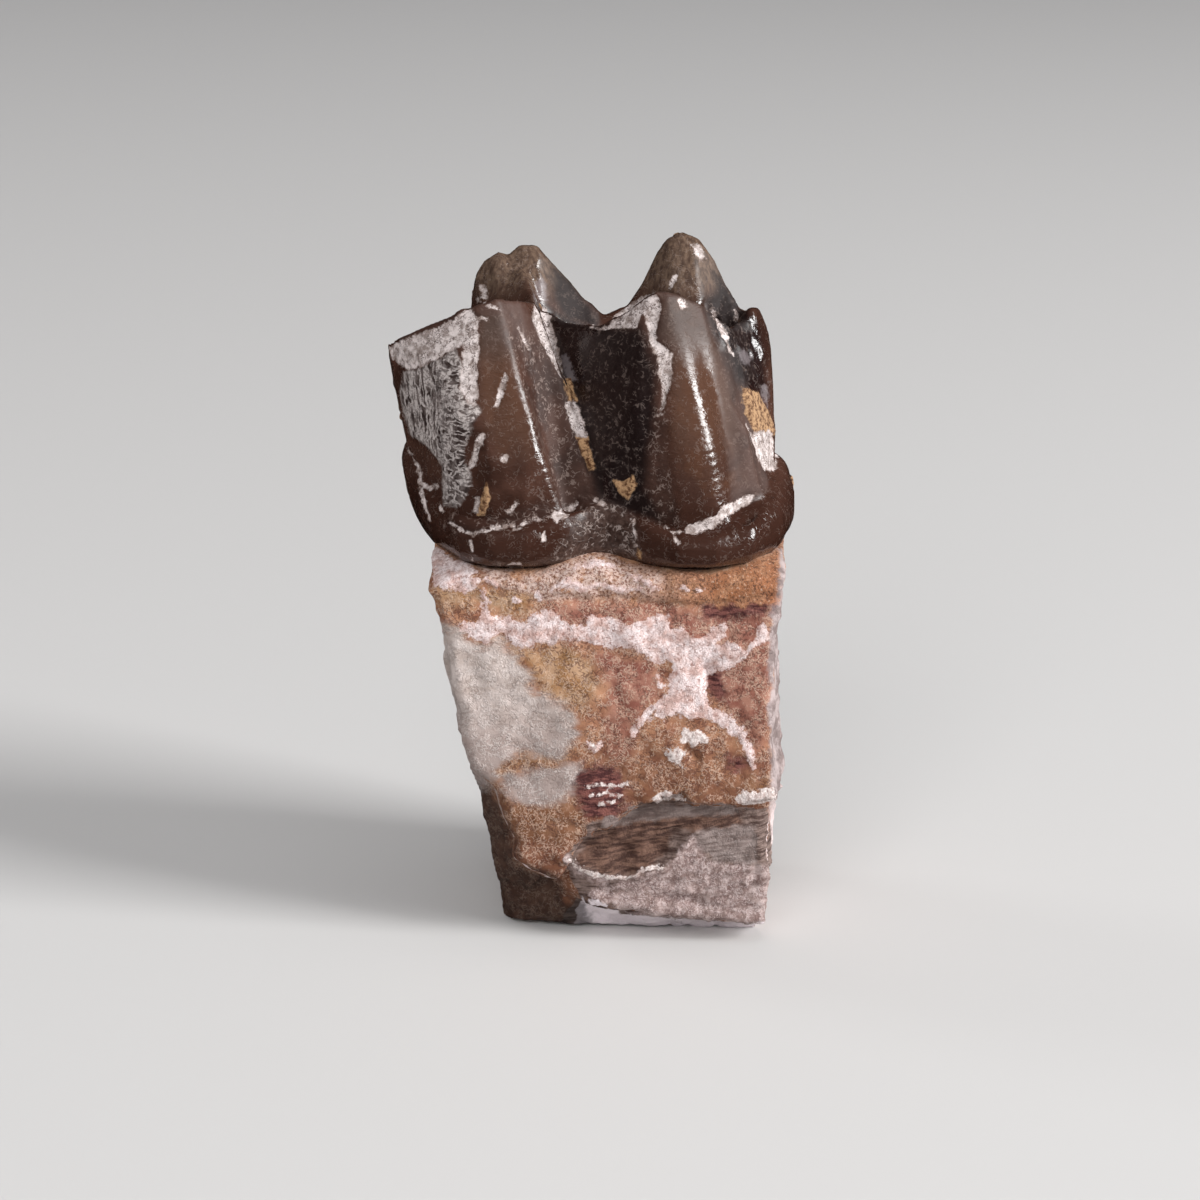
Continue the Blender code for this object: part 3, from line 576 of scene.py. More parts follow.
# Each patch's edge in the finish: how soft it is, how far it wanders, and over lumps of what size.
EDGES = {
    "taupe": (0.4, 0.2, 0.6), "dark": (0.3, 0.1, 0.5), "specks": (0.25, 0.3, 0.8),
    "frosted": (0.25, 0.35, 0.5), "network": (0.10, 0.12, 0.3), "painted_glints_and_mineral": (0.10, 0.25, 0.15),
    "ochre": (0.04, 0.12, 0.25), "chalk": (0.045, 0.22, 0.26), "satin": (0.2, 0.15, 0.5),
    "yellow": (0.4, 0.6, 0.9), "rust": (0.4, 0.6, 0.9), "side": (0.12, 0.2, 0.5),
    "maroon": (0.25, 0.6, 0.5), "sand": (0.12, 0.25, 0.35), "dusted": (0.3, 0.35, 0.4),
    "umber": (0.2, 0.25, 0.4), "scar_pink": (0.12, 0.3, 0.35), "scar_grey": (0.12, 0.15, 0.3),
    "scar": (0.05, 0.12, 0.2), "crust": (0.05, 0.34, 0.22), "flakes": (0.04, 0.22, 0.18),
    "painted_highlight_edge": (0.04, 0.1, 0.2), "behind": (0.3, 0.4, 0.5),
}
CROWN_RAGGED, BONE_RAGGED = 0.05, 0.14  # how far the edges wander in the meshes
THIN_WANDER = 0.05
# Patches on the sides that the photograph doesn't show: more of them for a higher first number,
# and wider ones for a higher second.
CROWN_ELSEWHERE = {
    "chalk": (-1.15, 1.2), "specks": (0.0, 2.6), "dark": (-0.6, 3.5), "taupe": (0.1, 3.5),
    "ochre": (-1.25, 1.4), "folded": (-0.6, 2.6), "satin": (-0.3, 3.0),
}
BONE_ELSEWHERE = {
    "crust": (-1.0, 2.0), "grey_white": (0.25, 5.0), "yellow": (-0.1, 5.5), "rust": (-0.5, 4.5),
    "maroon": (-1.3, 2.5), "side": (-0.15, 6.0),
}
NOWHERE = (-9.0, 9.0)  # the same for every patch that isn't named above: none at all
DEEPEST = 1.5  # a patch's depth is kept no further than this
FACING = (0.02, 0.22)  # a surface turned this far to the camera begins to be seen, and is seen
SIGHT_LIFT = 0.12  # how far off the surface the look back to the camera starts

# The room: a pale floor and soft lights.
FLOOR_REACH = 2000
FLOOR_COLOUR = (0.62, 0.61, 0.6, 1)
ROOM_COLOUR = (0.5, 0.5, 0.52, 1)
ROOM_STRENGTH = 0.5
LIGHTS_AIM = (0, 0, 15)
# Each soft light: its name, degrees to the right of the camera's side, degrees up, distance,
# (width, height), watts, and whether the enamel mirrors it.
LIGHTS = (
    ("window on the right", 68, 24, 550, (180, 340), 4.2, True),
    ("dim wall in front", 0, 25, 600, (500, 300), 0.06, True),
    ("soft light in front", -14, 35, 600, (300, 300), 1.2, False),
    ("soft light from behind on the left", -115, 25, 600, (150, 300), 0.5, False),
    ("soft light above", 5, 80, 700, (500, 500), 1.0, False),
)


def ramp(value, start, end):
    """0 at start, 1 at end, held beyond both."""
    return np.clip((value - start) / (end - start), 0, 1)


def nearest_on(x, y, line):
    """Distance in plan to a line of points, the values that the line has there beyond x and y,
    and the side: -1 to the right of someone walking along the line, 1 to the left."""
    line = np.array(line, float)
    distance = np.full(x.shape, np.inf)
    values = np.zeros((line.shape[1] - 2, *x.shape))
    side = np.zeros(x.shape)
    last = len(line) - 2
    for i, (a, b) in enumerate(zip(line[:-1], line[1:])):
        run = b[:2] - a[:2]
        along = ((x - a[0]) * run[0] + (y - a[1]) * run[1]) / (run @ run)
        share = np.clip(along, 0, 1)
        dx = x - (a[0] + share * run[0])
        dy = y - (a[1] + share * run[1])
        away = np.hypot(dx, dy)
        across = (run[0] * dy - run[1] * dx) / np.hypot(*run)
        past_end = ((i == 0) & (along < 0)) | ((i == last) & (along > 1))
        turned = np.where(past_end, across / np.maximum(away, 1e-6), np.sign(across))
        closer = away < distance
        distance = np.where(closer, away, distance)
        side = np.where(closer, turned, side)
        for value, start, end in zip(values, a[2:], b[2:]):
            value[closer] = (start + share * (end - start))[closer]
    return distance, values, side


def crest_height(x, y, crest):
    """Height over x, y of the ridge that falls away on both sides of a crest line."""
    line, (outer, inner, steepening, radius) = crest
    distance, (top,), side = nearest_on(x, y, line)
    slope = inner + (outer - inner) * (1 - side) / 2
    rounded = np.sqrt(distance**2 + radius**2) - radius
    return top - slope * rounded - steepening * distance**2


def inside(x, y, outline):
    """Whether each x, y lies inside a closed outline."""
    found = np.zeros(x.shape, bool)
    for (ax, ay), (bx, by) in zip(outline, outline[1:] + outline[:1]):
        if ay != by:
            crossing = (ay > y) != (by > y)
            found ^= crossing & (x < ax + (y - ay) * (bx - ax) / (by - ay))
    return found


def reach_inside(x, y, outline):
    """Distance to a closed outline, negative outside it."""
    reach, _, _ = nearest_on(x, y, outline + outline[:1])
    return np.where(inside(x, y, outline), reach, -reach)


def lines_reach(x, y, lines):
    """How deep x, y lies inside the nearest of some lines with a width."""
    reach = np.full(x.shape, -np.inf)
    for line in lines:
        distance, (width,), _ = nearest_on(x, y, line)
        reach = np.maximum(reach, width - distance)
    return reach


def ridges(x, y, lines):
    """The height at x, y of low ridges and creases along some lines with a width."""
    total = np.zeros(x.shape)
    for height, line in lines:
        distance, (width,), _ = nearest_on(x, y, line)
        total += height * np.exp(-((distance / width) ** 2))
    return total


def crown_height(x, y):
    """Height of the crown over x, y: its crests, run together where they meet, then the shelf
    that the collar is rolled from, all inside the crown's wall."""
    heights = [crest_height(x, y, crest) for crest in CRESTS.values()]
    highest = np.max(heights, axis=0)
    total = sum(np.exp((height - highest) / CREST_BLEND) for height in heights)
    crests = highest + CREST_BLEND * np.log(total)
    reach = reach_inside(x, y, FOOT_OUTLINE)
    _, (edge, _), _ = nearest_on(x, y, COLLAR + COLLAR[:1])
    ground = np.maximum(crests, edge - SHELF_SLOPE * reach)
    wall = CROWN_FOOT + WALL_SLOPE * reach
    return -CREST_BLEND * np.logaddexp(-ground / CREST_BLEND, -wall / CREST_BLEND)


def places(data):
    found = np.empty(3 * len(data.vertices))
    data.vertices.foreach_get("co", found)
    return found.reshape(-1, 3)


def directions(data):
    found = np.empty(3 * len(data.vertices))
    data.vertices.foreach_get("normal", found)
    return found.reshape(-1, 3)


def put(data, spots):
    data.vertices.foreach_set("co", spots.ravel())
    data.update()


def outwards(spots):
    """The level direction from the middle line of the fragment to each spot."""
    level = spots[:, :2].copy()
    level[:, 0] -= np.clip(level[:, 0], *MIDDLE_LINE)
    return level / np.maximum(np.hypot(*level.T), 0.1)[:, None]


def cloud(spots, size, octaves, turn=0.0):
    """Cloudy noise from about -1 to 1, with lumps of one size and finer ones on them."""
    shift = Vector((turn, 1.7 * turn, -2.3 * turn))
    return np.array([
        noise.fractal(Vector(spot) / size + shift, CLOUD_FALL, FINER, octaves) for spot in spots
    ])


def shape_crown_wall(data):
    """Rolls the collar out of the crown's wall, draws in its foot and leans its front end."""
    spots = places(data)
    x, y, z = spots.T
    _, (edge, proud), _ = nearest_on(x, y, COLLAR + COLLAR[:1])
    share = (z - CROWN_FOOT) / (edge - CROWN_FOOT)
    roll = np.maximum(0, 1 - np.abs(2 * share - 1) ** ROLL_FULLNESS) ** ROLL_STEEPNESS
    reach = proud * roll - NECK * ramp(share, 0.5, 0) ** 2
    reach -= BURIED_INSET * ramp(z, BURIED_FROM, BURIED_FOOT)
    spots[:, :2] += outwards(spots) * reach[:, None]
    spots[:, 0] -= FLARE * (z - CROWN_FOOT) * ramp(x, FLARE_FROM, FLARE_FULL)
    put(data, spots)


def solid_below(sheet, depth):
    """Closes a sheet into a solid with walls down to a flat underside."""
    made = bmesh.ops.extrude_face_region(sheet, geom=sheet.faces[:])
    for vertex in (v for v in made["geom"] if isinstance(v, bmesh.types.BMVert)):
        vertex.co.z = depth
    bmesh.ops.recalc_face_normals(sheet, faces=sheet.faces)


def cut_away(data, point, normal):
    """Removes what lies on the normal's side of a plane and closes the cut with a flat face."""
    shape = bmesh.new()
    shape.from_mesh(data)
    geometry = shape.verts[:] + shape.edges[:] + shape.faces[:]
    cut = bmesh.ops.bisect_plane(
        shape, geom=geometry, plane_co=point, plane_no=normal, dist=1e-6, clear_outer=True
    )
    edges = [e for e in cut["geom_cut"] if isinstance(e, bmesh.types.BMEdge)]
    bmesh.ops.contextual_create(shape, geom=edges)
    shape.to_mesh(data)
    shape.free()


def object_from(name, shape):
    data = bpy.data.meshes.new(name)
    shape.to_mesh(data)
    shape.free()
    obj = bpy.data.objects.new(name, data)
    bpy.context.scene.collection.objects.link(obj)
    return obj


def settle(obj):
    """Replaces the object's mesh by what its modifiers make of it, and clears them."""
    graph = bpy.context.evaluated_depsgraph_get()
    data = bpy.data.meshes.new_from_object(obj.evaluated_get(graph))
    obj.modifiers.clear()
    obj.data = data


def make_even(obj, voxel):
    """Gives the solid an even mesh of small faces and takes off its steps."""
    remesh = obj.modifiers.new("even mesh", "REMESH")
    remesh.mode = "VOXEL"
    remesh.voxel_size = voxel
    smooth = obj.modifiers.new("no steps", "SMOOTH")
    smooth.factor = 0.5
    smooth.iterations = EVEN_ROUNDS
    settle(obj)


def wear_round(obj):
    """Smooths the crests where they are worn, and the whole of the tongue side's wall."""
    spots = places(obj.data)
    column, row = in_photo(spots)
    cheek_side = ramp(spots[:, 1], *WORN_SIDE)
    share = WALL_WEAR * ramp(spots[:, 1], *SMOOTH_WALL) * ramp(spots[:, 2], *SMOOTH_BELOW)
    for outline, strength in WORN:
        reach = reach_inside(column, row, outline)
        share = np.maximum(share, strength * cheek_side * ramp(reach, -WORN_EDGE, WORN_EDGE))
    group = obj.vertex_groups.new(name="worn")
    for index in np.flatnonzero(share > 0.01).tolist():
        group.add([index], float(share[index]), "REPLACE")
    wear = obj.modifiers.new("wear", "SMOOTH")
    wear.factor = 0.5
    wear.iterations = WEAR_ROUNDS
    wear.vertex_group = group.name
    settle(obj)
    obj.vertex_groups.clear()


def crown_sheet():
    """A grid over the crown's plan, lifted to the crown's height."""
    corners = np.array(FOOT_OUTLINE)
    low, high = corners.min(axis=0) - SHEET_MARGIN, corners.max(axis=0) + SHEET_MARGIN
    columns, rows = np.ceil((high - low) / CROWN_CELL).astype(int)
    sheet = bmesh.new()
    bmesh.ops.create_grid(sheet, x_segments=columns, y_segments=rows, size=0.5)
    plan = np.array([v.co.xy for v in sheet.verts]) * (high - low) + (high + low) / 2
    heights = np.maximum(crown_height(*plan.T), SHEET_LOWEST)
    for vertex, (x, y), z in zip(sheet.verts, plan, heights):
        vertex.co = (x, y, z)
    return sheet


def station_points(depth, turned, inset):
    """The bone's outline at one depth."""
    outline = (1 - turned) * np.array(CHEEK_OUTLINE) + turned * np.array(TONGUE_OUTLINE)
    away = (outline - BONE_MIDDLE) / (outline.max(axis=0) - BONE_MIDDLE)
    away[:, 1] = np.minimum(away[:, 1], 0)
    return [(x, depth, z) for x, z in outline - inset * away]


def bone_block():
    """The stations of the bone, joined into one closed block."""
    block = bmesh.new()
    rings = []
    for depth, turned, inset in STATIONS:
        ring = [block.verts.new(p) for p in station_points(depth, turned, inset)]
        rings.append([block.edges.new((a, b)) for a, b in zip(ring, ring[1:] + ring[:1])])
    for first, second in zip(rings[:-1], rings[1:]):
        bmesh.ops.bridge_loops(block, edges=first + second)
    for end in (rings[0], rings[-1]):
        bmesh.ops.contextual_create(block, geom=end)
    bmesh.ops.triangulate(block, faces=[f for f in block.faces if len(f.verts) > 4])
    bmesh.ops.recalc_face_normals(block, faces=block.faces)
    return block


def camera_place():
    back = np.array((0, -math.cos(CAMERA_RISE), math.sin(CAMERA_RISE)))
    return CAMERA_AIM + back * CAMERA_DISTANCE


def in_photo(spots):
    """Column and row of each spot in the photograph, in its pixels."""
    forward = np.array((0, math.cos(CAMERA_RISE), -math.sin(CAMERA_RISE)))
    up = np.array((0, math.sin(CAMERA_RISE), math.cos(CAMERA_RISE)))
    away = spots - camera_place()
    depth = away @ forward
    focal = LENS / SENSOR * FRAME_PIXELS
    middle = FRAME_PIXELS / 2
    return middle + away[:, 0] / depth * focal, middle - away @ up / depth * focal


def in_view(spots, normals, tree):
    """1 where a spot faces the photograph's camera with nothing in front of it, 0 elsewhere."""
    towards = camera_place() - spots
    towards /= np.linalg.norm(towards, axis=1)[:, None]
    facing = ramp(np.sum(towards * normals, axis=1), *FACING)
    for i in np.flatnonzero(facing):
        start = Vector(spots[i] + normals[i] * SIGHT_LIFT)
        if tree.ray_cast(start, Vector(towards[i]))[0] is not None:
            facing[i] = 0
    return facing


def mark(data, name, values):
    """Keeps one value for each vertex under a name that the finish reads."""
    layer = data.attributes.new(name, "FLOAT", "POINT")
    layer.data.foreach_set("value", np.asarray(values, np.float32))


def marks(data, groups, lines, ragged, elsewhere):
    """Marks a piece with how deep, in millimetres, each vertex lies in each group of patches. The
    edges wander by `ragged`. Out of the photograph's sight the patches come from clouds:
    `elsewhere` gives their share and size, and without it there are none."""
    spots = places(data)
    tree = BVHTree.FromPolygons(
        [tuple(s) for s in spots], [tuple(f.vertices) for f in data.polygons]
    )
    column, row = in_photo(spots)
    seen = in_view(spots, directions(data), tree)
    wander = cloud(spots, 0.55, 3) * ragged
    found = {}
    for turn, (name, outlines) in enumerate(groups.items()):
        reach = np.max([reach_inside(column, row, outline) for outline in outlines], axis=0)
        shown = reach * PIXEL + wander
        if name in lines:
            thin = lines_reach(column, row, lines[name]) * PIXEL
            shown = np.maximum(shown, thin + THIN_WANDER * cloud(spots, 0.2, 2, 6.0))
        share, size = elsewhere.get(name, NOWHERE)
        hidden = 1.6 * cloud(spots, size, 4, 3.1 * (turn + 1)) + share
        shown, hidden = np.clip((shown, hidden), -DEEPEST, DEEPEST)
        found[name] = shown * seen + hidden * (1 - seen)
        mark(data, name, found[name])
    return column, row, seen, found


def growth(spots, column, row):
    """The height of the growth lines, which fade out at the ends and sides of their stretches."""
    level = spots[:, 2] - GROWTH_SLANT * spots[:, 0]
    waves = np.sin(2 * np.pi * level / GROWTH_PERIOD + 1.5 * cloud(spots, 1.2, 2))
    total = np.zeros(column.shape)
    for height, line in GROWTH_LINES:
        away, _, _ = nearest_on(column, row, line)
        below = row - line[0][1]
        total += height * ramp(away, *GROWTH_REACH) * ramp(below, -GROWTH_START, GROWTH_START)
    return total * waves


def detail_crown(data):
    """Chips, frosting, growth lines and fine folds on the crown, and the marks for its finish."""
    column, row, seen, found = marks(
        data, CROWN_GROUPS, {"chalk": CHALK_AND_GLINT_LINES}, CROWN_RAGGED, CROWN_ELSEWHERE
    )
    spots = places(data)
    curls = np.clip(1 - 3 * np.abs(cloud(spots, 0.26, 2, 2.0)), -0.5, 1)
    network = ramp(found["network"], -0.05, 0.15)
    specks = ramp(found["specks"], -0.1, 0.3) + ramp(found["frosted"], -0.1, 0.2)
    folded = ramp(found["folded"], -0.2, 0.2)
    push = ENAMEL_WAVES * cloud(spots, 0.6, 3, 9.0) + ENAMEL_GRAIN * cloud(spots, 0.16, 2, 5.0)
    push += (NETWORK_HEIGHT * network + SPECK_HEIGHT * specks) * curls
    push += UNSEEN_WAVES * (1 - seen) * cloud(spots * (1, 1, 0.4), 1.5, 3, 8.0)
    push += FOLD_HEIGHT * folded * cloud(spots * (1, 1, 0.5), 0.6, 3, 3.0)
    push -= CHIP_DEPTH * ramp(found["chalk"], -0.02, 0.06)
    push += EARTH_HEIGHT * ramp(found["ochre"], -0.05, 0.12)
    push += seen * (ridges(column, row, CROWN_LINES) + growth(spots, column, row))
    put(data, spots + directions(data) * push[:, None])


def break_bone(data):
    """Grain and hollows, the scar on the cheek face and the sediment packed round the tooth."""
    spots = places(data)
    x, y, z = spots.T.copy()
    grain = np.array([
        noise.fractal(Vector(spot) / GRAIN_SIZE, GRAIN_FALL, FINER, 3) for spot in spots
    ])
    hollows = np.array([0.5 + noise.noise(Vector(spot) / HOLLOW_SIZE) for spot in spots])
    hollows *= ramp(y, HOLLOW_FROM, HOLLOW_FROM + HOLLOW_FADE)
    hollows *= ramp(z, BONE_TOP, BONE_TOP - HOLLOW_FADE) * ramp(z, 0, HOLLOW_FADE)
    spots += directions(data) * (GRAIN * grain - HOLLOWS * hollows)[:, None]
    below = np.interp(x, *zip(*SCAR_EDGE)) - z + SCAR_WANDER * cloud(spots, 0.8, 3, 4.0)
    scar = SCAR_DEPTH * ramp(below, 0, STEP_WIDTH) * np.clip(1 - below / SCAR_FADE, 0.25, 1)
    spots[:, 1] += ramp(y, *CHEEK_FACE) * scar
    reach = reach_inside(x, y, FOOT_OUTLINE)
    _, (top,), _ = nearest_on(x, y, SEDIMENT_TOP + SEDIMENT_TOP[:1])
    cap = np.where(reach > 0, top, top + SEDIMENT_FALL * reach)
    squeeze = (cap - SEDIMENT_FROM) / (BLOCK_TOP - SEDIMENT_FROM)
    spots[:, 2] = np.where(z > SEDIMENT_FROM, SEDIMENT_FROM + (z - SEDIMENT_FROM) * squeeze, z)
    put(data, spots)


def fracture_steps(spots):
    """The depth of the steps and chips on the broken ends and the tongue side."""
    level = BREAK_LEVELS * cloud(spots * (1, 1, 0.7), BREAK_SIZE, 4, 21.0)
    steps = np.floor(level) + ramp(level % 1, 0, BREAK_SLOPE)
    return BREAK_STEP * np.clip(steps + 2, 0, 5) + BREAK_CHIPS * np.abs(cloud(spots, 0.9, 4, 17.0))


def detail_bone(data):
    """Crust, flakes, grit and layers on the bone, and the marks for its finish."""
    column, row, seen, found = marks(
        data, BONE_GROUPS, {"crust": CRUST_LINES, "flakes": FLAKE_LINES}, BONE_RAGGED,
        BONE_ELSEWHERE
    )
    spots = places(data)
    crust = ramp(found["crust"], -0.05, 0.10)
    flakes = ramp(found["flakes"], -0.05, 0.10)
    smooth = ramp(found["grey_white"], 0.0, 0.4) * (1 - crust)
    push = BONE_GRIT * cloud(spots, 0.5, 4, 7.0) + BONE_WAVES * cloud(spots, 1.3, 3, 12.0)
    push += crust * (CRUST_HEIGHT + CRUST_LUMPS * cloud(spots, 0.3, 4, 8.0))
    push += FLAKE_HEIGHT * flakes * (1 + cloud(spots, 0.25, 3, 10.0))
    push *= 1 - 0.5 * smooth
    push += SAND_GRAIN * ramp(found["sand"], -0.1, 0.2) * cloud(spots, 0.22, 2, 6.0)
    push += seen * ridges(column, row, BONE_LINES)
    hidden = (1 - seen) * ramp(spots[:, 1], *BREAK_FROM) * ramp(spots[:, 2], *BREAK_BELOW)
    push -= hidden * fracture_steps(spots)
    layers = spots * (0.35, 0.4, 1.2) - spots[:, :1] * (0, 0, 0.20)
    push += SCAR_LAYERS * ramp(found["scar"], -0.05, 0.15) * cloud(layers, 0.30, 4, 1.0)
    put(data, spots + directions(data) * push[:, None])


class Finish:
    """A procedural finish, built node by node on the piece's own coordinates in millimetres."""

    def __init__(self, name):
        self.made = bpy.data.materials.new(name)
        self.made.use_nodes = True
        self.tree = self.made.node_tree
        self.shader = self.tree.nodes["Principled BSDF"]
        place = self.node("ShaderNodeTexCoord", {}, "Object")
        self.place = self.node("ShaderNodeMapping", {"Vector": place, "Scale": [1 / MM] * 3})
        self.x, self.y, self.z = (
            self.node("ShaderNodeSeparateXYZ", {"Vector": self.place}, axis) for axis in "XYZ"
        )

    def feed(self, socket, value):
        """Links another node's output to a socket, or sets the socket to a plain value."""
        if isinstance(value, bpy.types.NodeSocket):
            self.tree.links.new(value, socket)
        else:
            socket.default_value = value

    def node(self, kind, inputs, output=0, **settings):
        """Adds a node, feeds its inputs and gives one of its outputs."""
        made = self.tree.nodes.new(kind)
        for key, value in settings.items():
            setattr(made, key, value)
        for key, value in inputs.items():
            self.feed(made.inputs[key], value)
        return made.outputs[output]

    def maths(self, operation, *values):
        return self.node("ShaderNodeMath", dict(enumerate(values)), operation=operation)

    def times(self, *values):
        result = values[0]
        for value in values[1:]:
            result = self.maths("MULTIPLY", result, value)
        return result

    def rest(self, share):
        """What a share leaves of 1."""
        return self.maths("SUBTRACT", 1.0, share)

    def clouds(self, size, detail=3.0, roughness=0.55, stretch=(1, 1, 1), warp=0.0):
        """Noise from 0 to 1 with lumps of one size."""
        place = self.node("ShaderNodeMapping", {"Vector": self.place, "Scale": stretch})
        return self.node("ShaderNodeTexNoise", {
            "Vector": place, "Scale": 1 / size, "Detail": detail, "Roughness": roughness,
            "Distortion": warp,
        })

    def between(self, value, start, end, low=0.0, high=1.0):
        """From low to high, as a value goes from start to end."""
        return self.node("ShaderNodeMapRange", {
            "Value": value, "From Min": start, "From Max": end, "To Min": low, "To Max": high,
        }, interpolation_type="SMOOTHSTEP")

    def worms(self, size, width, stretch=(1, 1, 1)):
        """Curly lines: 1 on them, 0 between."""
        lumps = self.clouds(size, 1.0, 0.5, stretch, 0.6)
        away = self.maths("ABSOLUTE", self.maths("SUBTRACT", lumps, 0.5))
        return self.between(away, width, width * 0.3)

    def marked(self, name):
        return self.node("ShaderNodeAttribute", {}, "Fac", attribute_name=name)

    def patch(self, name, edge=None):
        """Where a marked patch is, with the edge that EDGES gives it or another one."""
        soft, ragged, grain = edge or EDGES[name]
        wander = self.maths("MULTIPLY_ADD", self.clouds(grain, 4.0, 0.65), 2 * ragged, -ragged)
        reach = self.maths("ADD", self.marked(name), wander)
        return self.between(reach, -soft, soft)

    def mix(self, share, first, second):
        """A colour between two others."""
        inputs = {0: share, 6: first, 7: second}
        return self.node("ShaderNodeMix", inputs, 2, data_type="RGBA")

    def blend(self, share, first, second):
        """A number between two others."""
        return self.node("ShaderNodeMix", {0: share, 2: first, 3: second})

    def tones(self, value, start, end, first, second):
        """From the first tone to the second, as a value goes from start to end."""
        return self.mix(self.between(value, start, end), tone(*first), tone(*second))

    def close(self, colour, roughness, relief, depth, ior):
        """Sets what the surface shows; `relief` is a height from 0 to 1, `depth` its size."""
        bump = {"Strength": 1.0, "Distance": depth * MM, "Height": relief}
        self.feed(self.shader.inputs["Base Color"], colour)
        self.feed(self.shader.inputs["Roughness"], roughness)
        self.feed(self.shader.inputs["Normal"], self.node("ShaderNodeBump", bump))
        self.shader.inputs["IOR"].default_value = ior
        return self.made


def tone(red, green, blue):
    """A colour given as it shows on a screen, 0 to 255, in the linear values of the finish."""
    shown = np.array((red, green, blue)) / 255
    linear = np.where(shown <= 0.04045, shown / 12.92, ((shown + 0.055) / 1.055) ** 2.4)
    return (*linear.tolist(), 1.0)


def brown_enamel(f, broad, dark):
    """Dark brown, lighter on the lobes' ridges and olive at the tips of the tongue side's cusps."""
    colour = f.tones(broad, 0.35, 0.65, (56, 36, 29), (76, 51, 42))
    ridge = f.tones(f.z, 24.0, 26.5, (80, 55, 43), (66, 47, 38))
    ridge = f.mix(f.between(f.z, 23.0, 19.5), ridge, tone(64, 43, 36))
    ridge = f.mix(f.between(broad, 0.5, 0.7, 0.0, 0.5), ridge, tone(88, 58, 42))
    colour = f.mix(f.patch("taupe"), colour, ridge)
    colour = f.mix(f.between(f.z, 20.0, 18.4, 0.0, 0.75), colour, tone(52, 31, 24))
    fibres = f.clouds(0.4, 3.0, 0.6, stretch=(2.6, 2.6, 0.35))
    olive = f.tones(fibres, 0.30, 0.72, (70, 54, 46), (110, 90, 76))
    tips = f.times(f.between(f.z, 25.6, 27.0), f.between(f.y, 0.3, 1.8))
    colour = f.mix(tips, colour, olive)
    # Near-black brown: painted shade in the valley between the lobes, and darker enamel in the other dark
    # patches.
    return f.mix(f.times(dark, 0.9), colour, tone(26, 16, 16))


def frosting(f, colour, curls, specks, frosted, dark):
    """Fine pale curls over the enamel, and a grey haze where it is worn."""
    colour = f.mix(f.times(curls, 0.14), colour, tone(150, 130, 120))
    strength = f.blend(dark, 0.4, 0.14)
    colour = f.mix(f.times(specks, curls, strength), colour, tone(158, 140, 132))
    haze = f.tones(f.clouds(0.16, 3.0, 0.7), 0.4, 0.62, (46, 33, 28), (88, 70, 62))
    colour = f.mix(f.times(frosted, 0.4), colour, haze)
    return f.mix(f.times(frosted, curls, 0.5), colour, tone(160, 146, 140))


def network_lines(f):
    """Chalky lines, level at the crown's front end and upright on its cheek side."""
    upright = f.worms(0.42, 0.12, stretch=(1.5, 1.5, 0.55))
    level = f.worms(0.38, 0.12, stretch=(0.7, 1.0, 1.6))
    return f.blend(f.between(f.x, -6.6, -5.6), upright, level)


def network_colour(f, lines):
    colour = f.tones(f.clouds(0.5, 3.0), 0.38, 0.62, (50, 36, 33), (118, 106, 102))
    colour = f.mix(lines, colour, tone(186, 176, 172))
    return f.mix(f.times(f.worms(0.19, 0.08), 0.6), colour, tone(70, 56, 52))


def chalk_and_glint_colour(f):
    """Chalky white, nicked, and thinner towards the chips' edges; the painted glints take the same white.
    """
    colour = f.tones(f.clouds(0.4, 5.0, 0.75), 0.38, 0.6, (142, 127, 121), (216, 204, 201))
    nicks = f.times(f.worms(0.15, 0.06), f.between(f.clouds(0.35, 3.0), 0.42, 0.55))
    colour = f.mix(f.times(nicks, 0.85), colour, tone(84, 66, 60))
    thin = f.rest(f.patch("chalk", (0.10, 0.2, 0.15)))
    return f.mix(f.times(thin, 0.45), colour, tone(128, 102, 88))


def enamel():
    """Glossy dark brown enamel with frosted flanks, chalky chips and sediment in its folds."""
    f = Finish("fossil enamel")
    broad = f.clouds(1.6, 3.0)
    curls = f.times(f.worms(0.20, 0.06), f.between(f.clouds(0.33, 2.0), 0.45, 0.6))
    lines = network_lines(f)
    names = ("dark", "specks", "frosted", "network", "ochre", "chalk")
    dark, specks, frosted, network, ochre, chalk = (f.patch(name) for name in names)
    earth = f.tones(f.clouds(0.22, 4.0, 0.72), 0.38, 0.58, (84, 50, 26), (170, 134, 98))
    colour = brown_enamel(f, broad, dark)
    colour = frosting(f, colour, curls, specks, frosted, dark)
    colour = f.mix(network, colour, network_colour(f, lines))
    # Half-strength pale grey: painted glints and reflections, and a little blue-grey mineral in the
    # valley.
    colour = f.mix(f.times(f.patch("painted_glints_and_mineral"), 0.5), colour, tone(138, 128, 130))
    colour = f.mix(ochre, colour, earth)
    # Chalky white over the chips, and over the few painted glints.
    colour = f.mix(chalk, colour, chalk_and_glint_colour(f))
    worn_tops = f.times(f.between(f.z, 23.6, 26.2), f.between(f.y, -1.5, -2.5))
    roughness = f.blend(f.between(broad, 0.3, 0.7), 0.13, 0.2)
    for share, rougher in (
        (f.times(curls, 0.6), 0.5), (network, 0.4), (f.times(frosted, 0.6), 0.45),
        (f.times(specks, 0.8), 0.42), (worn_tops, 0.60), (f.patch("satin"), 0.74),
        (chalk, 0.62), (ochre, 0.85),
    ):
        roughness = f.blend(share, roughness, rougher)
    grain = f.times(f.clouds(0.12, 3.0), 0.5)
    relief = f.maths("ADD", grain, f.times(f.maths("MAXIMUM", curls, lines), 0.5))
    return f.close(colour, roughness, relief, depth=0.010, ior=1.55)


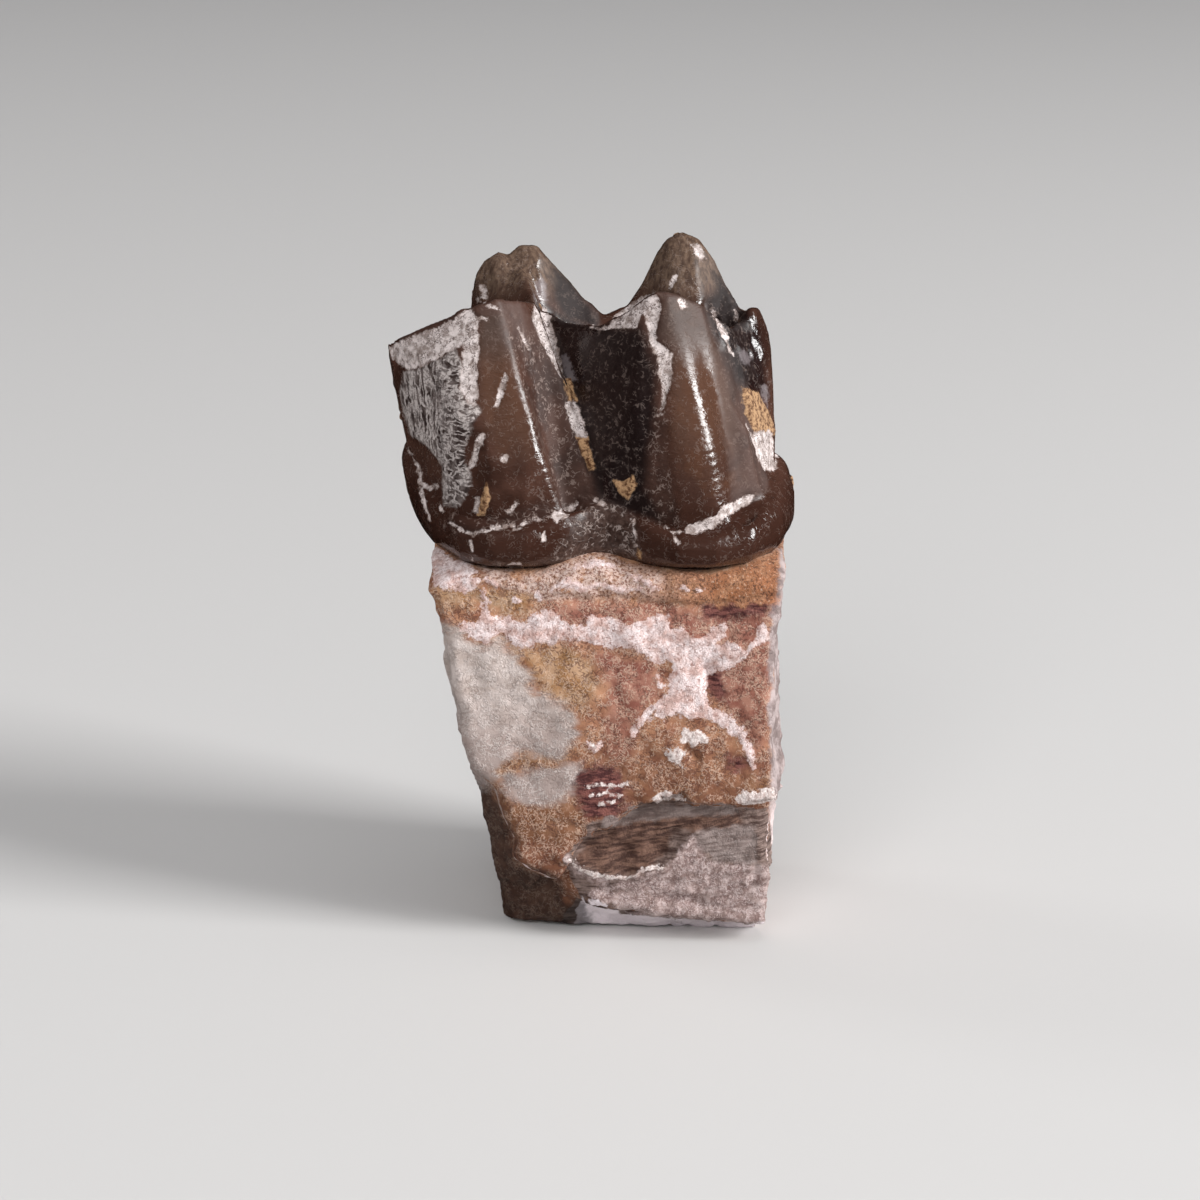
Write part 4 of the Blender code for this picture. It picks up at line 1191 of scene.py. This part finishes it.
def stained_bone(f, patchy, light_grit, dark_grit):
    """Ochre bone with yellow and rust stains, darker towards the ground."""
    colour = f.tones(patchy, 0.36, 0.64, (136, 88, 66), (172, 126, 96))
    yellow = f.tones(patchy, 0.4, 0.6, (148, 108, 68), (176, 142, 112))
    colour = f.mix(f.times(f.patch("yellow"), 0.9), colour, yellow)
    rust = f.tones(patchy, 0.36, 0.62, (132, 78, 66), (164, 116, 100))
    colour = f.mix(f.times(f.patch("rust"), 0.9), colour, rust)
    brown = f.mix(patchy, tone(92, 52, 36), tone(130, 84, 56))
    colour = f.mix(f.between(f.z, 12.0, 5.0, 0.0, 0.85), colour, brown)
    colour = f.mix(f.times(dark_grit, 0.6), colour, tone(84, 48, 40))
    return f.mix(f.times(light_grit, 0.5), colour, tone(206, 176, 156))


def smooth_layer(f, light_grit, dark_grit):
    """The bone's smooth outer layer: milky grey, dimmer towards the ground."""
    milk = f.clouds(0.8, 4.0, 0.6, stretch=(0.6, 1, 1.3))
    colour = f.tones(milk, 0.35, 0.65, (176, 160, 152), (206, 192, 186))
    colour = f.mix(f.between(f.z, 12.5, 8.0, 0.0, 0.8), colour, tone(150, 132, 126))
    colour = f.mix(f.times(light_grit, 0.35), colour, tone(226, 216, 212))
    return f.mix(f.times(dark_grit, 0.3), colour, tone(132, 112, 104))


def packed_sediment(f, patchy):
    """Grainy sediment round the tooth's foot, rusty towards its rear end and dusted with white."""
    grains = f.clouds(0.12, 3.0, 0.75)
    colour = f.tones(f.x, 1.0, 5.5, (172, 140, 124), (156, 100, 66))
    colour = f.mix(f.between(patchy, 0.45, 0.65), colour, tone(164, 116, 84))
    colour = f.mix(f.between(grains, 0.5, 0.38), colour, tone(98, 62, 44))
    colour = f.mix(f.between(grains, 0.58, 0.70, 0.0, 0.8), colour, tone(208, 182, 164))
    dust = f.times(f.patch("dusted"), f.between(f.clouds(0.25, 4.0, 0.7), 0.38, 0.56))
    white = f.tones(grains, 0.42, 0.52, (138, 100, 88), (212, 190, 182))
    return f.mix(f.times(dust, 0.75), colour, white)


def scar_stone(f, light_grit, dark_grit, glossy):
    """Slanting layers where the bone has flaked off: brown, umber, pink and a glossy grey."""
    slant = f.maths("MULTIPLY_ADD", f.x, -0.14, f.z)
    seams = {"X": f.times(f.x, 0.5), "Y": 0.0, "Z": f.times(slant, 2.6)}
    place = f.node("ShaderNodeCombineXYZ", seams)
    bands = f.node(
        "ShaderNodeTexNoise", {"Vector": place, "Scale": 2.2, "Detail": 5.0, "Roughness": 0.68}
    )
    stone = f.tones(bands, 0.38, 0.62, (76, 56, 50), (138, 118, 110))
    umber = f.tones(bands, 0.42, 0.6, (70, 46, 38), (118, 88, 74))
    stone = f.mix(f.patch("umber"), stone, umber)
    pink = f.tones(f.clouds(0.35, 4.0, 0.72), 0.4, 0.6, (128, 106, 101), (184, 164, 160))
    pink = f.mix(f.between(bands, 0.45, 0.6, 0.0, 0.5), pink, tone(116, 98, 92))
    pink = f.mix(f.times(light_grit, 0.5), pink, tone(212, 194, 192))
    pink = f.mix(f.times(dark_grit, 0.5), pink, tone(104, 74, 70))
    stone = f.mix(f.times(f.patch("scar_pink"), 0.9), stone, pink)
    grey = f.tones(bands, 0.4, 0.6, (118, 102, 97), (148, 134, 130))
    return f.mix(f.times(glossy, 0.8), stone, grey)


def crust_colour(f, patchy, fine):
    """Pinkish-white crust that lets the stained bone through in places."""
    colour = f.tones(patchy, 0.36, 0.6, (202, 170, 162), (234, 218, 217))
    colour = f.mix(f.times(f.worms(0.2, 0.07), 0.45), colour, tone(160, 122, 114))
    colour = f.mix(f.times(f.between(fine, 0.46, 0.34), 0.75), colour, tone(138, 98, 86))
    thin = f.rest(f.patch("crust", (0.15, 0.3, 0.4)))
    bare = f.times(thin, f.between(patchy, 0.42, 0.58), 0.6)
    return f.mix(bare, colour, tone(176, 132, 116))


def bone():
    """Grainy mineralised bone: ochre, rust and maroon stains under a pinkish-white crust."""
    f = Finish("fossil bone")
    patchy = f.clouds(0.7, 4.0, 0.65)
    fine = f.clouds(0.16, 4.0, 0.7)
    light_grit = f.times(f.worms(0.15, 0.09), f.between(f.clouds(0.45, 3.0), 0.40, 0.55))
    dark_grit = f.times(f.worms(0.19, 0.08), f.between(f.clouds(0.6, 3.0), 0.42, 0.56))
    glossy = f.patch("scar_grey")
    wisps = f.clouds(0.9, 5.0, 0.7, stretch=(0.5, 1, 1.5))
    wander = f.maths("MULTIPLY_ADD", wisps, 1.6, -0.8)
    grey = f.between(f.maths("ADD", f.marked("grey_white"), wander), -0.3, 0.35)
    end_face = f.tones(patchy, 0.4, 0.6, (132, 116, 113), (178, 162, 160))
    end_face = f.mix(f.between(f.z, 7.0, 4.0), end_face, tone(222, 204, 202))
    streaks = f.clouds(0.3, 4.0, 0.7, stretch=(0.5, 1, 1.8))
    wine = f.tones(streaks, 0.4, 0.6, (70, 30, 30), (128, 78, 70))
    flake = f.tones(fine, 0.4, 0.6, (176, 156, 150), (228, 216, 212))
    # Painted shade for the low back of the bone on the left.
    dim = f.tones(patchy, 0.4, 0.6, (26, 20, 18), (50, 40, 36))
    colour = stained_bone(f, patchy, light_grit, dark_grit)
    for share, above in (
        (grey, smooth_layer(f, light_grit, dark_grit)),
        (f.patch("side"), end_face),
        (f.patch("maroon"), wine),
        (f.times(f.patch("sand"), 0.92), packed_sediment(f, patchy)),
        (f.patch("scar"), scar_stone(f, light_grit, dark_grit, glossy)),
        (f.patch("crust"), crust_colour(f, patchy, fine)),
        (f.patch("flakes"), flake),
        # Painted highlight along the bone's bottom edge.
        (f.patch("painted_highlight_edge"), tone(236, 224, 228)),
        # Painted shade over the low back of the bone on the left.
        (f.times(f.patch("behind"), 0.75), dim),
    ):
        colour = f.mix(share, colour, above)
    roughness = f.blend(glossy, f.blend(grey, 0.85, 0.55), 0.4)
    grit = f.maths("SUBTRACT", light_grit, dark_grit)
    relief = f.maths("ADD", f.times(fine, 0.5), f.times(grit, 0.35))
    return f.close(colour, roughness, relief, depth=0.05, ior=1.5)


def pale_floor():
    made = bpy.data.materials.new("pale floor")
    made.use_nodes = True
    shader = made.node_tree.nodes["Principled BSDF"]
    shader.inputs["Base Color"].default_value = FLOOR_COLOUR
    shader.inputs["Roughness"].default_value = 0.7
    return made


def bring_to_frame(obj, finish):
    """Brings a piece modelled in millimetres to metres, keeps it inside the solids' box, shades it
    and gives it its finish."""
    put(obj.data, np.clip(places(obj.data) * MM, *CAD_BOX))
    obj.data.shade_smooth()
    obj.data.materials.append(finish)


def make_molar():
    crown = crown_sheet()
    solid_below(crown, SHEET_CLOSED)
    molar = object_from("enamel_crown", crown)
    make_even(molar, MOLAR_VOXEL)
    shape_crown_wall(molar.data)
    cut_away(molar.data, (0, 0, BURIED_FOOT), (0, 0, -1))
    wear_round(molar)
    detail_crown(molar.data)
    bring_to_frame(molar, enamel())
    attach(molar, "root")
    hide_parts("molar")


def make_bone():
    piece = object_from("fossil_bone", bone_block())
    make_even(piece, BONE_VOXEL)
    break_bone(piece.data)
    detail_bone(piece.data)
    cut_away(piece.data, (0, 0, 0), (0, 0, -1))
    bring_to_frame(piece, bone())
    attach(piece, "root")
    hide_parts("jaw_bone")


def make_camera():
    data = bpy.data.cameras.new("camera")
    data.lens = LENS
    data.sensor_width = SENSOR
    data.clip_start = 1 * MM
    obj = bpy.data.objects.new("camera", data)
    bpy.context.scene.collection.objects.link(obj)
    obj.location = camera_place() * MM
    obj.rotation_euler = (math.pi / 2 - CAMERA_RISE, 0, 0)
    bpy.context.scene.camera = obj


def make_floor():
    shape = bmesh.new()
    bmesh.ops.create_grid(shape, x_segments=1, y_segments=1, size=FLOOR_REACH * MM)
    floor = object_from("floor", shape)
    floor.data.materials.append(pale_floor())
    floor.visible_glossy = False


def make_room():
    """Even light from all sides that the enamel doesn't mirror."""
    world = bpy.data.worlds.new("room")
    bpy.context.scene.world = world
    world.use_nodes = True
    shader = world.node_tree.nodes["Background"]
    shader.inputs["Color"].default_value = ROOM_COLOUR
    shader.inputs["Strength"].default_value = ROOM_STRENGTH
    world.cycles_visibility.glossy = False


def softbox(name, turn, rise, distance, size, power, shine):
    """A soft light aimed at the fragment, with its values as in LIGHTS."""
    data = bpy.data.lights.new(name, "AREA")
    data.shape = "RECTANGLE"
    data.size, data.size_y = size[0] * MM, size[1] * MM
    data.energy = power
    obj = bpy.data.objects.new(name, data)
    bpy.context.scene.collection.objects.link(obj)
    obj.visible_glossy = shine
    turn, rise = math.radians(turn), math.radians(rise)
    away = Vector((
        math.sin(turn) * math.cos(rise), -math.cos(turn) * math.cos(rise), math.sin(rise)
    ))
    obj.location = Vector(LIGHTS_AIM) * MM + away * distance * MM
    obj.rotation_euler = away.to_track_quat("Z", "Y").to_euler()


make_camera()
make_floor()
make_room()
for light in LIGHTS:
    softbox(*light)
make_bone()
make_molar()
bpy.context.scene.view_settings.view_transform = "Standard"
